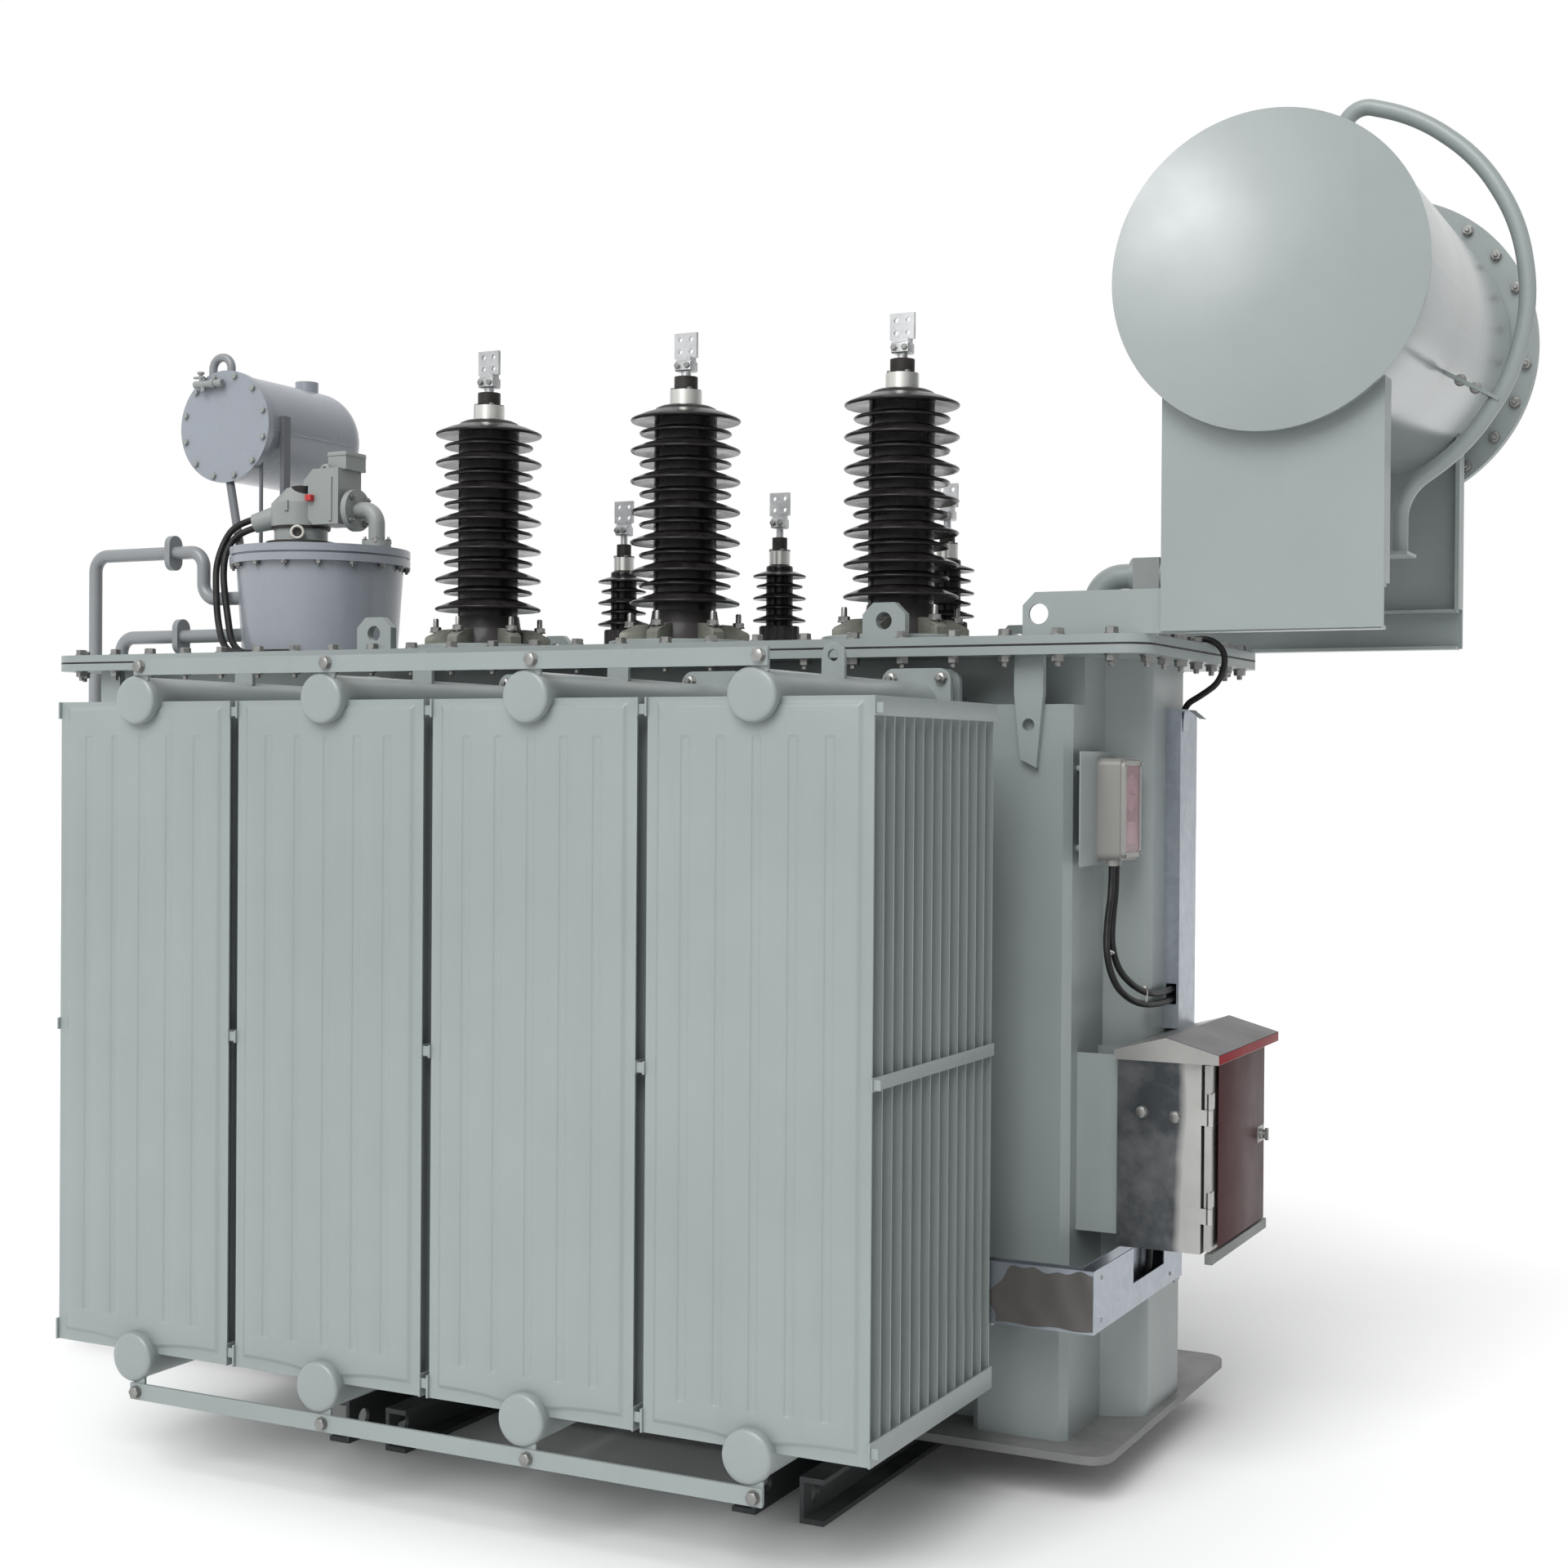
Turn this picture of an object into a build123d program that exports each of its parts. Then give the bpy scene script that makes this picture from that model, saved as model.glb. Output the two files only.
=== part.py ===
from build123d import *
import math
import os

# Oil-filled power transformer with an on-load tap changer and two banks of panel radiators.
# Millimetres. X runs along the radiator banks, Y from the front bank to the rear one, Z up.
# The origin is on the ground, under the middle of the whole machine.

# Radiator banks
RADIATORS = 4
REAR_RADIATORS = 3
RADIATOR_PITCH = 545
PANELS = 14
PANEL_PITCH = 49.7
PANEL_WIDTH = 520
PANEL_HEIGHT = 1540
PANEL_BOTTOM = 300
PANEL_BODY = 18
PANEL_SEAM = 4
SEAM_WIDTH = 28
SEAM_TAPER = 14
BANK_FRONT = 1335
HEADER_DIA = 114
HEADER_PROUD = 30
HEADER_ABOVE = 3
HEADER_BELOW = 7
STRIP_THICK = 4
TOP_STRIP = 40
BOTTOM_STRIP = 50
MIDDLE_STRIP = 28
MIDDLE_STRIP_Z = 1050
EYE_WIDTH = 56
EYE_HEIGHT = 78
EYE_THICK = 12
EYE_HOLE = 26
EYE_FROM_FRONT = 360
TIE_BAR_HEIGHT = 38
TIE_BAR_THICK = 8
TIE_TAB_OFFSET = 20
TIE_TAB_WIDTH = 34
TIE_CLEAR = 1
TIE_BAR_END = 38

# Butterfly valves between the radiators and the tank
VALVE_FLANGE = 176
VALVE_CORNER = 30
VALVE_PLATE = 16
VALVE_BODY_DIA = 140
VALVE_BODY = 40
VALVE_FRONT = 500
VALVE_STEM_DIA = 22
VALVE_STEM = 60

# Tank
GROUND_TO_BASE = 105
BASE_THICK = 20
BASE_LEFT = -1905
BASE_RIGHT = 1297
BASE_HALF_WIDTH = 510
BASE_CORNER = 60
TANK_LEFT = -1850
TANK_RIGHT = 1173
TANK_HALF_WIDTH = 335
BULGE_DEPTH = 102
BULGE_HALF_BASE = 185
BULGE_HALF_FACE = 140
BULGE_FILLET = 30
RIB_DEPTH = 96
RIB_TOP = 1847
END_RIB_WIDTH = 237
RIB_WIDTH = 200
RIB_CHAMFER = 18
FLANGE_LEFT = -1931
FLANGE_RIGHT = 1375
FLANGE_HALF_WIDTH = 505
FLANGE_CORNER = 70
FLANGE_THICK = 20
GASKET_THICK = 5
GASKET_WIDTH = 60
COVER_THICK = 20
COVER_TOP = 2005

# Skids under the base plate
SKID_FRONT = 885
SKID_LEFT_X = -490
SKID_RIGHT_X = 651
SKID_WIDTH = 60
SKID_WEB = 10
SKID_FLANGE = 12
SKID_PAIR_GAP = 56
TOW_HOLE_DIA = 44
TOW_HOLE_FROM_END = 60

# Lifting lugs and hooks
LUG_WIDTH = 112
LUG_HEIGHT = 88
LUG_THICK = 25
LUG_HOLE = 42
LUG_LEFT_X = -800
LUG_RIGHT_X = 710
LUG_Y = 466
HOOK_X = 1075
HOOK_TOP_WIDTH = 72
HOOK_BOTTOM_WIDTH = 40
HOOK_DROP = 262
HOOK_THICK = 20
HOOK_HOLE = 30
HOOK_HOLE_DROP = 162

# High-voltage bushings
HV_PITCH = 620
HV_MIDDLE_X = 33
HV_Y = -235
HV_BODY_DIA = 165
HV_BIG_SHED = 290
HV_SMALL_SHED = 243
HV_BIG_SHEDS = 7
HV_SHED_PITCH = 40
HV_BASE_HEIGHT = 98
HV_FIRST_SHED = 32
HV_LAST_SHED = 29
HV_RIM = 7
HV_BASE_DIA = 196
HV_FLANGE_DIA = 396
HV_FLANGE_THICK = 16
HV_CLAMP_END = 170
HV_CLAMPS = 6
HV_CLAMP_LENGTH = 78
HV_CLAMP_WIDTH = 34
HV_CLAMP_HEIGHT = 44
HV_CAP_DIA = 84
HV_CAP_HEIGHT = 38
HV_RING_DIA = 62
HV_RING_HEIGHT = 36
HV_STUD_DIA = 26
HV_STUD_HEIGHT = 50
HV_PAD_HEIGHT = 66
HV_PAD_WIDTH = 66
PAD_SEAT = 4
CLAMP_SHARE = 0.8
PAD_THICK = 10
PAD_HOLE = 13
PAD_HOLE_PITCH = 32

# Low-voltage bushings
LV_PITCH = 507
LV_MIDDLE_X = 80
LV_Y = 225
LV_BODY_DIA = 75
LV_BIG_SHED = 149
LV_SMALL_SHED = 131
LV_BIG_SHEDS = 3
LV_SHED_PITCH = 31
LV_BASE_HEIGHT = 85
LV_FIRST_SHED = 22
LV_LAST_SHED = 26
LV_RIM = 5
LV_BASE_DIA = 112
LV_FLANGE_DIA = 190
LV_FLANGE_THICK = 12
LV_CAP_HEIGHT = 38
LV_CAP_DIA = 58
LV_RING_DIA = 42
LV_RING_HEIGHT = 38
LV_STUD_DIA = 20
LV_STUD_HEIGHT = 62
LV_PAD_HEIGHT = 64
LV_PAD_WIDTH = 60

# Tap changer on the cover
OLTC_X = -1350
OLTC_DRUM_BOTTOM_DIA = 455
OLTC_DRUM_TOP_DIA = 492
OLTC_DRUM_HEIGHT = 280
OLTC_LID_THICK = 50
OLTC_LID_DIA = 532
OLTC_GROOVE = 6
OLTC_GROOVE_DEPTH = 8
HEAD_X = -1408
HEAD_Y = -20
HEAD_FOOT_DIA = 202
HEAD_FOOT = 20
HEAD_NECK_DIA = 158
HEAD_NECK = 50
DOME_DIA = 176
DOME_SKIRT = 68
DOME_CROWN = 48
OUTLET_TURN = 200
OUTLET_DIP = 15
OUTLET_REACH = 150
OUTLET_ABOVE_NECK = 51
OUTLET_CABLE_PITCH = 26
OUTLET_RUN = 57
OUTLET_DIA = 76
OUTLET_TIP_DIA = 56
GEARBOX_LEFT = -1356
GEARBOX_RIGHT = -1228
GEARBOX_HALF_WIDTH = 55
GEARBOX_HEIGHT = 165
GEARBOX_CHAMFER = 34
GEARBOX_LID_HEIGHT = 50
GEARBOX_LID_WIDTH = 66
GEARBOX_LID_REACH = 13
GEARBOX_LID_FRONT = 35
GEARBOX_LID_REAR = 60
ELBOW_ABOVE_NECK = 42
ELBOW_STUB = 14
ELBOW_DIA = 48
ELBOW_FLANGE_DIA = 124
ELBOW_FLANGE_THICK = 18
ELBOW_FOOT_DIA = 84
ELBOW_X = -1128
ELBOW_RADIUS = 45

# Small conservator over the tap changer
SMALL_DRUM_X = -1722
SMALL_DRUM_CLEAR = 231
SMALL_DRUM_DIA = 330
SMALL_DRUM_FLANGE_DIA = 344
SMALL_DRUM_FRONT = 0
SMALL_DRUM_REAR = 514
SMALL_DRUM_FLANGE = 12
SMALL_DRUM_KNUCKLE = 90
POST_WIDTH = 30
POST_THICK = 16
POST_Y = 62
POST_CLIP = 30
STRUT_DIA = 26
STRUT_FOOT_DIA = 40
STRUT_FOOT = 12
STRUT_FOOT_X = -1585
STRUT_FOOT_Y = -85
STRUT_TOP_X = -1738
STRUT_TOP_Y = 40
ROD_DIA = 12
ROD_X = -1606
ROD_Y = 34
VENT_FROM_FRONT = 50
VENT_SHIFT = 52
VENT_WIDTH = 72
VENT_HEIGHT = 58
VENT_DROP = 44
VENT_DIA = 26
FILLER_DIA = 74
FILLER_HEIGHT = 30
FILLER_Y = 395

# Oil pipes on the left of the tap changer
PIPE_PLANE_Y = -110
PIPE_DIA = 40
PIPE_FLANGE_HEIGHT = 106
PIPE_FLANGE_WIDTH = 58
PIPE_FLANGE_THICK = 10
PIPE_FOOT_DIA = 98
UPPER_PIPE_START = 186
UPPER_PIPE_RISE = 144
UPPER_PIPE_RISE_X = -1704
UPPER_PIPE_FLANGE_X = -1824
UPPER_PIPE_DOWN_X = -2137
LOWER_PIPE_START = 75
LOWER_PIPE_FLANGE_X = -1792
LOWER_PIPE_DOWN_X = -2030
PIPE_BEND = 48
PIPE_END_Z = 900
PIPE_BRACKET_Z = 1240
PIPE_BRACKET = 50
PIPE_BRACKET_THICK = 8

# Main conservator
DRUM_X = 1650
DRUM_CLEAR = 339
DRUM_DIA = 690
DRUM_FRONT = -535
DRUM_REAR = 590
DISC_DIA = 704
DISC_THICK = 10
REAR_FLANGE_DIA = 820
REAR_FLANGE_THICK = 14
REAR_GROOVE = 20
LEG_WIDTH = 496
LEG_THICK = 10
LEG_FOLD = 55
LEG_FRONT = -485
LEG_CLEAR = 3
BEAM_HEIGHT = 101
BEAM_LEFT = 1068
BEAM_RIGHT = 1892
BEAM_WIDTH = 50
BEAM_WALL = 8
BEAM_HOLE_X = 1107
BEAM_HOLE_DIA = 48
BEAM_CORNER = 30
BREATHER_RADIUS = 487
BREATHER_DIA = 38
BREATHER_Y = -65
BREATHER_START = 7
BREATHER_END = 156
BREATHER_STEPS = 7
BREATHER_FOOT_ABOVE = 200
BREATHER_FOOT = 110
STRAP_ANGLE = 120
STRAP_WIDTH = 45
STRAP_THICK = 8

# Gas relay and its pipe
RELAY_LEFT = 1195
RELAY_RIGHT = 1262
RELAY_ABOVE = 131
RELAY_HEIGHT = 83
RELAY_HALF_WIDTH = 45
RELAY_PIPE_DIA = 62
RELAY_FLANGE_DIA = 120
RELAY_FLANGE_THICK = 12
RELAY_PIPE_X = 1085
RELAY_PIPE_BEND = 70
RELAY_RISE = 120
RELAY_RISE_CLIMB = 40

# Thermometer on the end wall
GAUGE_PLATE_X = 1207
GAUGE_PLATE_THICK = 4
GAUGE_PLATE_FRONT = -467
GAUGE_PLATE_REAR = -212
GAUGE_PLATE_BOTTOM = 1470
GAUGE_PLATE_TOP = 1737
GAUGE_STUD_DIA = 16
GAUGE_STUD_YS = (-383, -232)
GAUGE_STUD_EDGE = 40
GAUGE_CORNER = 18
GAUGE_FRONT = -350
GAUGE_REAR = -212
GAUGE_BOTTOM = 1482
GAUGE_TOP = 1722
GAUGE_DEPTH = 56
GAUGE_WINDOW = 8
GAUGE_WINDOW_MARGIN = 15

# Cable trays
UPRIGHT_FRONT = -20
UPRIGHT_WIDTH = 140
TRAY_DEPTH = 38
TRAY_WALL = 3
UPRIGHT_TOP = 1845
LOW_TRAY_BOTTOM = 442
LOW_TRAY_HEIGHT = 141
LOW_TRAY_FRONT = -655
LOW_TRAY_RIGHT = 1315
LOW_TRAY_LEFT = 480
LOW_TRAY_REAR = 20
TRAY_BRACKET_WIDTH = 40
TRAY_BRACKET_THICK = 6

# Control cabinet
CABINET_LEFT = 1276
CABINET_DEPTH = 200
CABINET_FRONT = -380
CABINET_REAR = 100
CABINET_BOTTOM = 586
CABINET_TOP = 1025
CABINET_WALL = 3
CABINET_FRAME = 22
ROOF_OVERHANG = 28
ROOF_EDGE = 22
ROOF_RISE = 34
DOOR_THICK = 14
DOOR_GAP = 6
HINGE_DIA = 14
HINGE_LENGTH = 36
HINGE_GAP = 1
HINGE_FROM_END = 70
HINGE_LEAF = 3
HINGE_LEAF_WIDTH = 30
LOCK_DIA = 22
LOCK_PROUD = 20
LOCK_FROM_EDGE = 60
BRACKET_WALL = 5
BRACKET_INSET = 10
BRACKET_RAISE = 26

# Cables and their glands
CABLE_DIA = 16
THICK_CABLE_DIA = 20
GLAND_DIA = 26
GLAND_LENGTH = 14
GAUGE_GLAND_X = 1240
GAUGE_GLAND_YS = (-325, -292)
RELAY_GLAND_X = 1240
RELAY_GLAND_Y = 18
CABINET_GLAND_X = 1296
CABINET_GLAND_Y = -185
DUCT_SLOT_LOW = 1117
DUCT_SLOT_HIGH = 1168
TRAY_CUT_FRONT = -370
TRAY_CUT_REAR = -130
TRAY_CUT_Z = 500

# Running fits
SEAT = 0.3
WELD_SINK = 12
STRIP_WELD = 0.5
BEND_SHARE = 0.45
SHED_SLOPE = 0.26

HEADER_TOP_Z = PANEL_BOTTOM + PANEL_HEIGHT + HEADER_ABOVE
HEADER_BOTTOM_Z = PANEL_BOTTOM - HEADER_BELOW
TIE_TOP_Z = HEADER_TOP_Z + HEADER_DIA / 2 + TIE_CLEAR
TIE_BOTTOM_Z = HEADER_BOTTOM_Z - HEADER_DIA / 2 - TIE_CLEAR - TIE_BAR_HEIGHT
BASE_TOP = GROUND_TO_BASE + BASE_THICK
COVER_BOTTOM = COVER_TOP - COVER_THICK
HV_FOOT = COVER_TOP + HV_BASE_HEIGHT
HV_FIRST_RIM = HV_FOOT + HV_FIRST_SHED
HV_CAP_BOTTOM = HV_FIRST_RIM + 2 * (HV_BIG_SHEDS - 1) * HV_SHED_PITCH + HV_LAST_SHED
LV_FOOT = COVER_TOP + LV_BASE_HEIGHT
LV_FIRST_RIM = LV_FOOT + LV_FIRST_SHED
LV_CAP_BOTTOM = LV_FIRST_RIM + 2 * (LV_BIG_SHEDS - 1) * LV_SHED_PITCH + LV_LAST_SHED
LID_BOTTOM = COVER_TOP + OLTC_DRUM_HEIGHT
LID_TOP = LID_BOTTOM + OLTC_LID_THICK
NECK_TOP = LID_TOP + HEAD_FOOT + HEAD_NECK
DOME_TOP = NECK_TOP + DOME_SKIRT + DOME_CROWN
GEARBOX_TOP = NECK_TOP + GEARBOX_HEIGHT
SMALL_DRUM_Z = LID_TOP + SMALL_DRUM_CLEAR + SMALL_DRUM_DIA / 2
BEAM_TOP = COVER_TOP + BEAM_HEIGHT
DRUM_Z = BEAM_TOP + DRUM_CLEAR + DRUM_DIA / 2
FLANGE_TOP = COVER_BOTTOM - GASKET_THICK
FLANGE_BOTTOM = FLANGE_TOP - FLANGE_THICK
BANK_DEPTH = PANELS * PANEL_PITCH - (PANEL_PITCH - PANEL_BODY)
RIB_FACE = TANK_HALF_WIDTH + RIB_DEPTH
BULGE_FACE = TANK_RIGHT + BULGE_DEPTH
ROOF_WIDTH = CABINET_DEPTH + DOOR_GAP + DOOR_THICK + ROOF_OVERHANG
HEADER_XS = [RADIATOR_PITCH * (i - (RADIATORS - 1) / 2) for i in range(RADIATORS)]
REAR_XS = HEADER_XS[:REAR_RADIATORS]
HV_XS = [HV_MIDDLE_X + HV_PITCH * i for i in (-1, 0, 1)]
LV_XS = [LV_MIDDLE_X + LV_PITCH * i for i in (-1, 0, 1)]


def block(x0, x1, y0, y1, z0, z1):
    """A rectangular solid between two corners."""
    return Pos((x0 + x1) / 2, (y0 + y1) / 2, (z0 + z1) / 2) * Box(x1 - x0, y1 - y0, z1 - z0)


def rod_x(x0, x1, y, z, dia):
    """A cylinder along X."""
    return Pos((x0 + x1) / 2, y, z) * Rot(0, 90, 0) * Cylinder(dia / 2, x1 - x0)


def rod_y(x, y0, y1, z, dia):
    """A cylinder along Y."""
    return Pos(x, (y0 + y1) / 2, z) * Rot(90, 0, 0) * Cylinder(dia / 2, y1 - y0)


def rod_z(x, y, z0, z1, dia):
    """A cylinder along Z."""
    return Pos(x, y, (z0 + z1) / 2) * Cylinder(dia / 2, z1 - z0)


def rod_between(start, end, dia):
    """A cylinder from one point to another."""
    start = Vector(*start)
    axis = Vector(*end) - start
    return extrude(Plane(origin=start, z_dir=axis.normalized()) * Circle(dia / 2), axis.length)


def plate_z(x0, x1, y0, y1, z0, z1, corner):
    """A horizontal plate with rounded corners."""
    outline = Pos((x0 + x1) / 2, (y0 + y1) / 2, z0) * RectangleRounded(x1 - x0, y1 - y0, corner)
    return extrude(outline, z1 - z0)


def plate_y(points, y0, y1):
    """A plate of a given X-Z outline between two Y planes."""
    face = make_face(Polyline(*[(x, y0, z) for x, z in points], close=True))
    return extrude(face, y1 - y0, dir=(0, 1, 0))


def turned(profile, x, y):
    """A solid turned about a vertical axis from (radius, height) points."""
    face = make_face(Polyline(*[(r, 0, z) for r, z in profile], close=True))
    return Pos(x, y, 0) * revolve(face, Axis.Z)


def tube(points, dia, bends):
    """A round bar along straight runs joined by arcs."""
    path = FilletPolyline(*points, radius=bends)
    start = Plane(origin=path @ 0, z_dir=path % 0)
    return sweep(start * Circle(dia / 2), path)


def easy_bends(points):
    """The largest arc at each corner that its two runs leave room for."""
    corners = [Vector(*point) for point in points]
    radii = []
    for before, at, after in zip(corners, corners[1:], corners[2:]):
        turn = math.radians((at - before).get_angle(after - at))
        run = min((at - before).length, (after - at).length)
        radii.append(BEND_SHARE * run / math.tan(turn / 2))
    return radii


def to_back(shape):
    """The same piece on the rear side of the machine."""
    return mirror(shape, about=Plane.XZ)


def solids_of(shape):
    """Every solid in a shape or a list of shapes."""
    if isinstance(shape, (list, tuple)):
        return [solid for item in shape for solid in solids_of(item)]
    return list(shape.solids())


def save(name, shape):
    """Write one sub-part."""
    pieces = solids_of(shape)
    body = pieces[0] if len(pieces) == 1 else Compound(children=pieces)
    export_step(body, f"parts/{name}.step")


def radiator_panel(y):
    """One pressed panel: an oil space with a thin welded seam along both sides."""
    half = PANEL_WIDTH / 2
    seam = half - SEAM_WIDTH
    body = seam - SEAM_TAPER
    outline = [
        (-half, -PANEL_SEAM / 2), (-seam, -PANEL_SEAM / 2), (-body, -PANEL_BODY / 2),
        (body, -PANEL_BODY / 2), (seam, -PANEL_SEAM / 2), (half, -PANEL_SEAM / 2),
        (half, PANEL_SEAM / 2), (seam, PANEL_SEAM / 2), (body, PANEL_BODY / 2),
        (-body, PANEL_BODY / 2), (-seam, PANEL_SEAM / 2), (-half, PANEL_SEAM / 2),
    ]
    face = make_face(Polyline(*[(px, py + y, PANEL_BOTTOM) for px, py in outline], close=True))
    return extrude(face, PANEL_HEIGHT, dir=(0, 0, 1))


def eye_plate(y):
    """The round-topped lifting eye on the upper header."""
    foot = HEADER_TOP_Z + HEADER_DIA / 2 - WELD_SINK
    centre = foot + EYE_HEIGHT - EYE_WIDTH / 2
    plate = block(-EYE_WIDTH / 2, EYE_WIDTH / 2, y, y + EYE_THICK, foot, centre)
    plate += rod_y(0, y, y + EYE_THICK, centre, EYE_WIDTH)
    return plate - rod_y(0, y - 1, y + EYE_THICK + 1, centre, EYE_HOLE)


def tie_tab(z0, z1):
    """A tab on the header that the tie bar is bolted to."""
    y0 = -BANK_FRONT - HEADER_PROUD + TIE_BAR_THICK + SEAT
    x0 = TIE_TAB_OFFSET - TIE_TAB_WIDTH / 2
    return block(x0, x0 + TIE_TAB_WIDTH, y0, y0 + TIE_BAR_THICK, z0, z1)


def radiator():
    """One radiator of the front bank, centred on X = 0: panels, two headers and edge strips."""
    first = -BANK_FRONT + PANEL_BODY / 2
    ys = [first + PANEL_PITCH * i for i in range(PANELS)]
    whole = radiator_panel(ys[0])
    whole = whole.fuse(*[radiator_panel(y) for y in ys[1:]])
    back = -BANK_FRONT + BANK_DEPTH
    top = PANEL_BOTTOM + PANEL_HEIGHT
    for z in (HEADER_TOP_Z, HEADER_BOTTOM_Z):
        whole += rod_y(0, -BANK_FRONT - HEADER_PROUD, -VALVE_FRONT - VALVE_PLATE, z, HEADER_DIA)
    half = PANEL_WIDTH / 2
    levels = (
        (top - TOP_STRIP, top),
        (PANEL_BOTTOM, PANEL_BOTTOM + BOTTOM_STRIP),
        (MIDDLE_STRIP_Z, MIDDLE_STRIP_Z + MIDDLE_STRIP),
    )
    for z0, z1 in levels:
        for x0 in (-half - STRIP_THICK, half):
            whole += block(x0 - STRIP_WELD, x0 + STRIP_THICK + STRIP_WELD, -BANK_FRONT, back, z0, z1)
    whole += eye_plate(-BANK_FRONT + EYE_FROM_FRONT)
    whole += tie_tab(HEADER_TOP_Z + HEADER_DIA / 2 - WELD_SINK, TIE_TOP_Z + TIE_BAR_HEIGHT)
    whole += tie_tab(TIE_BOTTOM_Z, HEADER_BOTTOM_Z - HEADER_DIA / 2 + WELD_SINK)
    return whole


def radiators():
    """Both banks, one node for each radiator."""
    one = radiator()
    for number, x in enumerate(HEADER_XS, 1):
        save(f"radiator_front_{number}", Pos(x, 0, 0) * one)
    for number, x in enumerate(REAR_XS, 1):
        save(f"radiator_back_{number}", to_back(Pos(x, 0, 0) * one))


def tie_bar(xs, z):
    """A flat bar bolted across the ends of a bank's headers."""
    y0 = -BANK_FRONT - HEADER_PROUD
    x0 = xs[0] + TIE_TAB_OFFSET - TIE_BAR_END / 2
    x1 = xs[-1] + TIE_TAB_OFFSET + TIE_BAR_END / 2
    return block(x0, x1, y0, y0 + TIE_BAR_THICK, z, z + TIE_BAR_HEIGHT)


def tie_bars():
    """Two bars on each bank, over the upper headers and under the lower ones."""
    levels = (TIE_TOP_Z, TIE_BOTTOM_Z)
    save("tie_bars", [tie_bar(HEADER_XS, z) for z in levels] + [to_back(tie_bar(REAR_XS, z)) for z in levels])


def valve(x, z):
    """A butterfly valve between two square flanges, with its stub pipe to the tank wall."""
    y = -VALVE_FRONT
    outer = y - VALVE_PLATE
    inner = y + VALVE_BODY
    square = RectangleRounded(VALVE_FLANGE, VALVE_FLANGE, VALVE_CORNER)
    whole = extrude(Plane((x, y, z), x_dir=(1, 0, 0), z_dir=(0, -1, 0)) * square, VALVE_PLATE)
    whole += extrude(Plane((x, inner, z), x_dir=(1, 0, 0), z_dir=(0, 1, 0)) * square, VALVE_PLATE)
    whole += rod_y(x, y, inner, z, VALVE_BODY_DIA)
    whole += rod_y(x, inner, -TANK_HALF_WIDTH, z, HEADER_DIA)
    side = 1 if z < HEADER_TOP_Z else -1
    tip = z + side * (VALVE_BODY_DIA / 2 + VALVE_STEM)
    whole += rod_z(x, y + VALVE_BODY / 2, min(z, tip), max(z, tip), VALVE_STEM_DIA)
    return whole


def valves():
    """All the radiator valves of both banks."""
    levels = (HEADER_TOP_Z, HEADER_BOTTOM_Z)
    front = [valve(x, z) for x in HEADER_XS for z in levels]
    save("radiator_valves", front + [to_back(valve(x, z)) for x in REAR_XS for z in levels])


def skid(x):
    """A pair of channels back to back with an open gap, under the base plate."""
    pieces = []
    for side in (-1, 1):
        web = x + side * SKID_PAIR_GAP
        tip = web + side * SKID_WIDTH
        low, high = min(web, tip), max(web, tip)
        channel = block(low, high, -SKID_FRONT, SKID_FRONT, 0, SKID_FLANGE)
        channel += block(low, high, -SKID_FRONT, SKID_FRONT, GROUND_TO_BASE - SKID_FLANGE, GROUND_TO_BASE)
        low, high = min(web, web + side * SKID_WEB), max(web, web + side * SKID_WEB)
        channel += block(low, high, -SKID_FRONT, SKID_FRONT, 0, GROUND_TO_BASE)
        for y in (-SKID_FRONT + TOW_HOLE_FROM_END, SKID_FRONT - TOW_HOLE_FROM_END):
            channel -= rod_x(low - 1, high + 1, y, GROUND_TO_BASE / 2, TOW_HOLE_DIA)
        pieces.append(channel)
    return pieces


def base():
    """The base plate and the skids under it."""
    save("base_plate", plate_z(BASE_LEFT, BASE_RIGHT, -BASE_HALF_WIDTH, BASE_HALF_WIDTH,
                               GROUND_TO_BASE, BASE_TOP, BASE_CORNER))
    save("skids", skid(SKID_LEFT_X) + skid(SKID_RIGHT_X))


def tank_outline():
    """The plan of the tank wall with the folded bulge in its right end."""
    points = [
        (TANK_LEFT, -TANK_HALF_WIDTH), (TANK_RIGHT, -TANK_HALF_WIDTH), (TANK_RIGHT, -BULGE_HALF_BASE),
        (BULGE_FACE, -BULGE_HALF_FACE), (BULGE_FACE, BULGE_HALF_FACE), (TANK_RIGHT, BULGE_HALF_BASE),
        (TANK_RIGHT, TANK_HALF_WIDTH), (TANK_LEFT, TANK_HALF_WIDTH),
    ]
    return make_face(Polyline(*[(x, y, BASE_TOP) for x, y in points], close=True))


def rib(x0, x1):
    """A folded box rib on the front wall."""
    points = [
        (x0, -TANK_HALF_WIDTH), (x0, -RIB_FACE + RIB_CHAMFER), (x0 + RIB_CHAMFER, -RIB_FACE),
        (x1 - RIB_CHAMFER, -RIB_FACE), (x1, -RIB_FACE + RIB_CHAMFER), (x1, -TANK_HALF_WIDTH),
    ]
    face = make_face(Polyline(*[(x, y, BASE_TOP) for x, y in points], close=True))
    return extrude(face, RIB_TOP - BASE_TOP, dir=(0, 0, 1))


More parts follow.
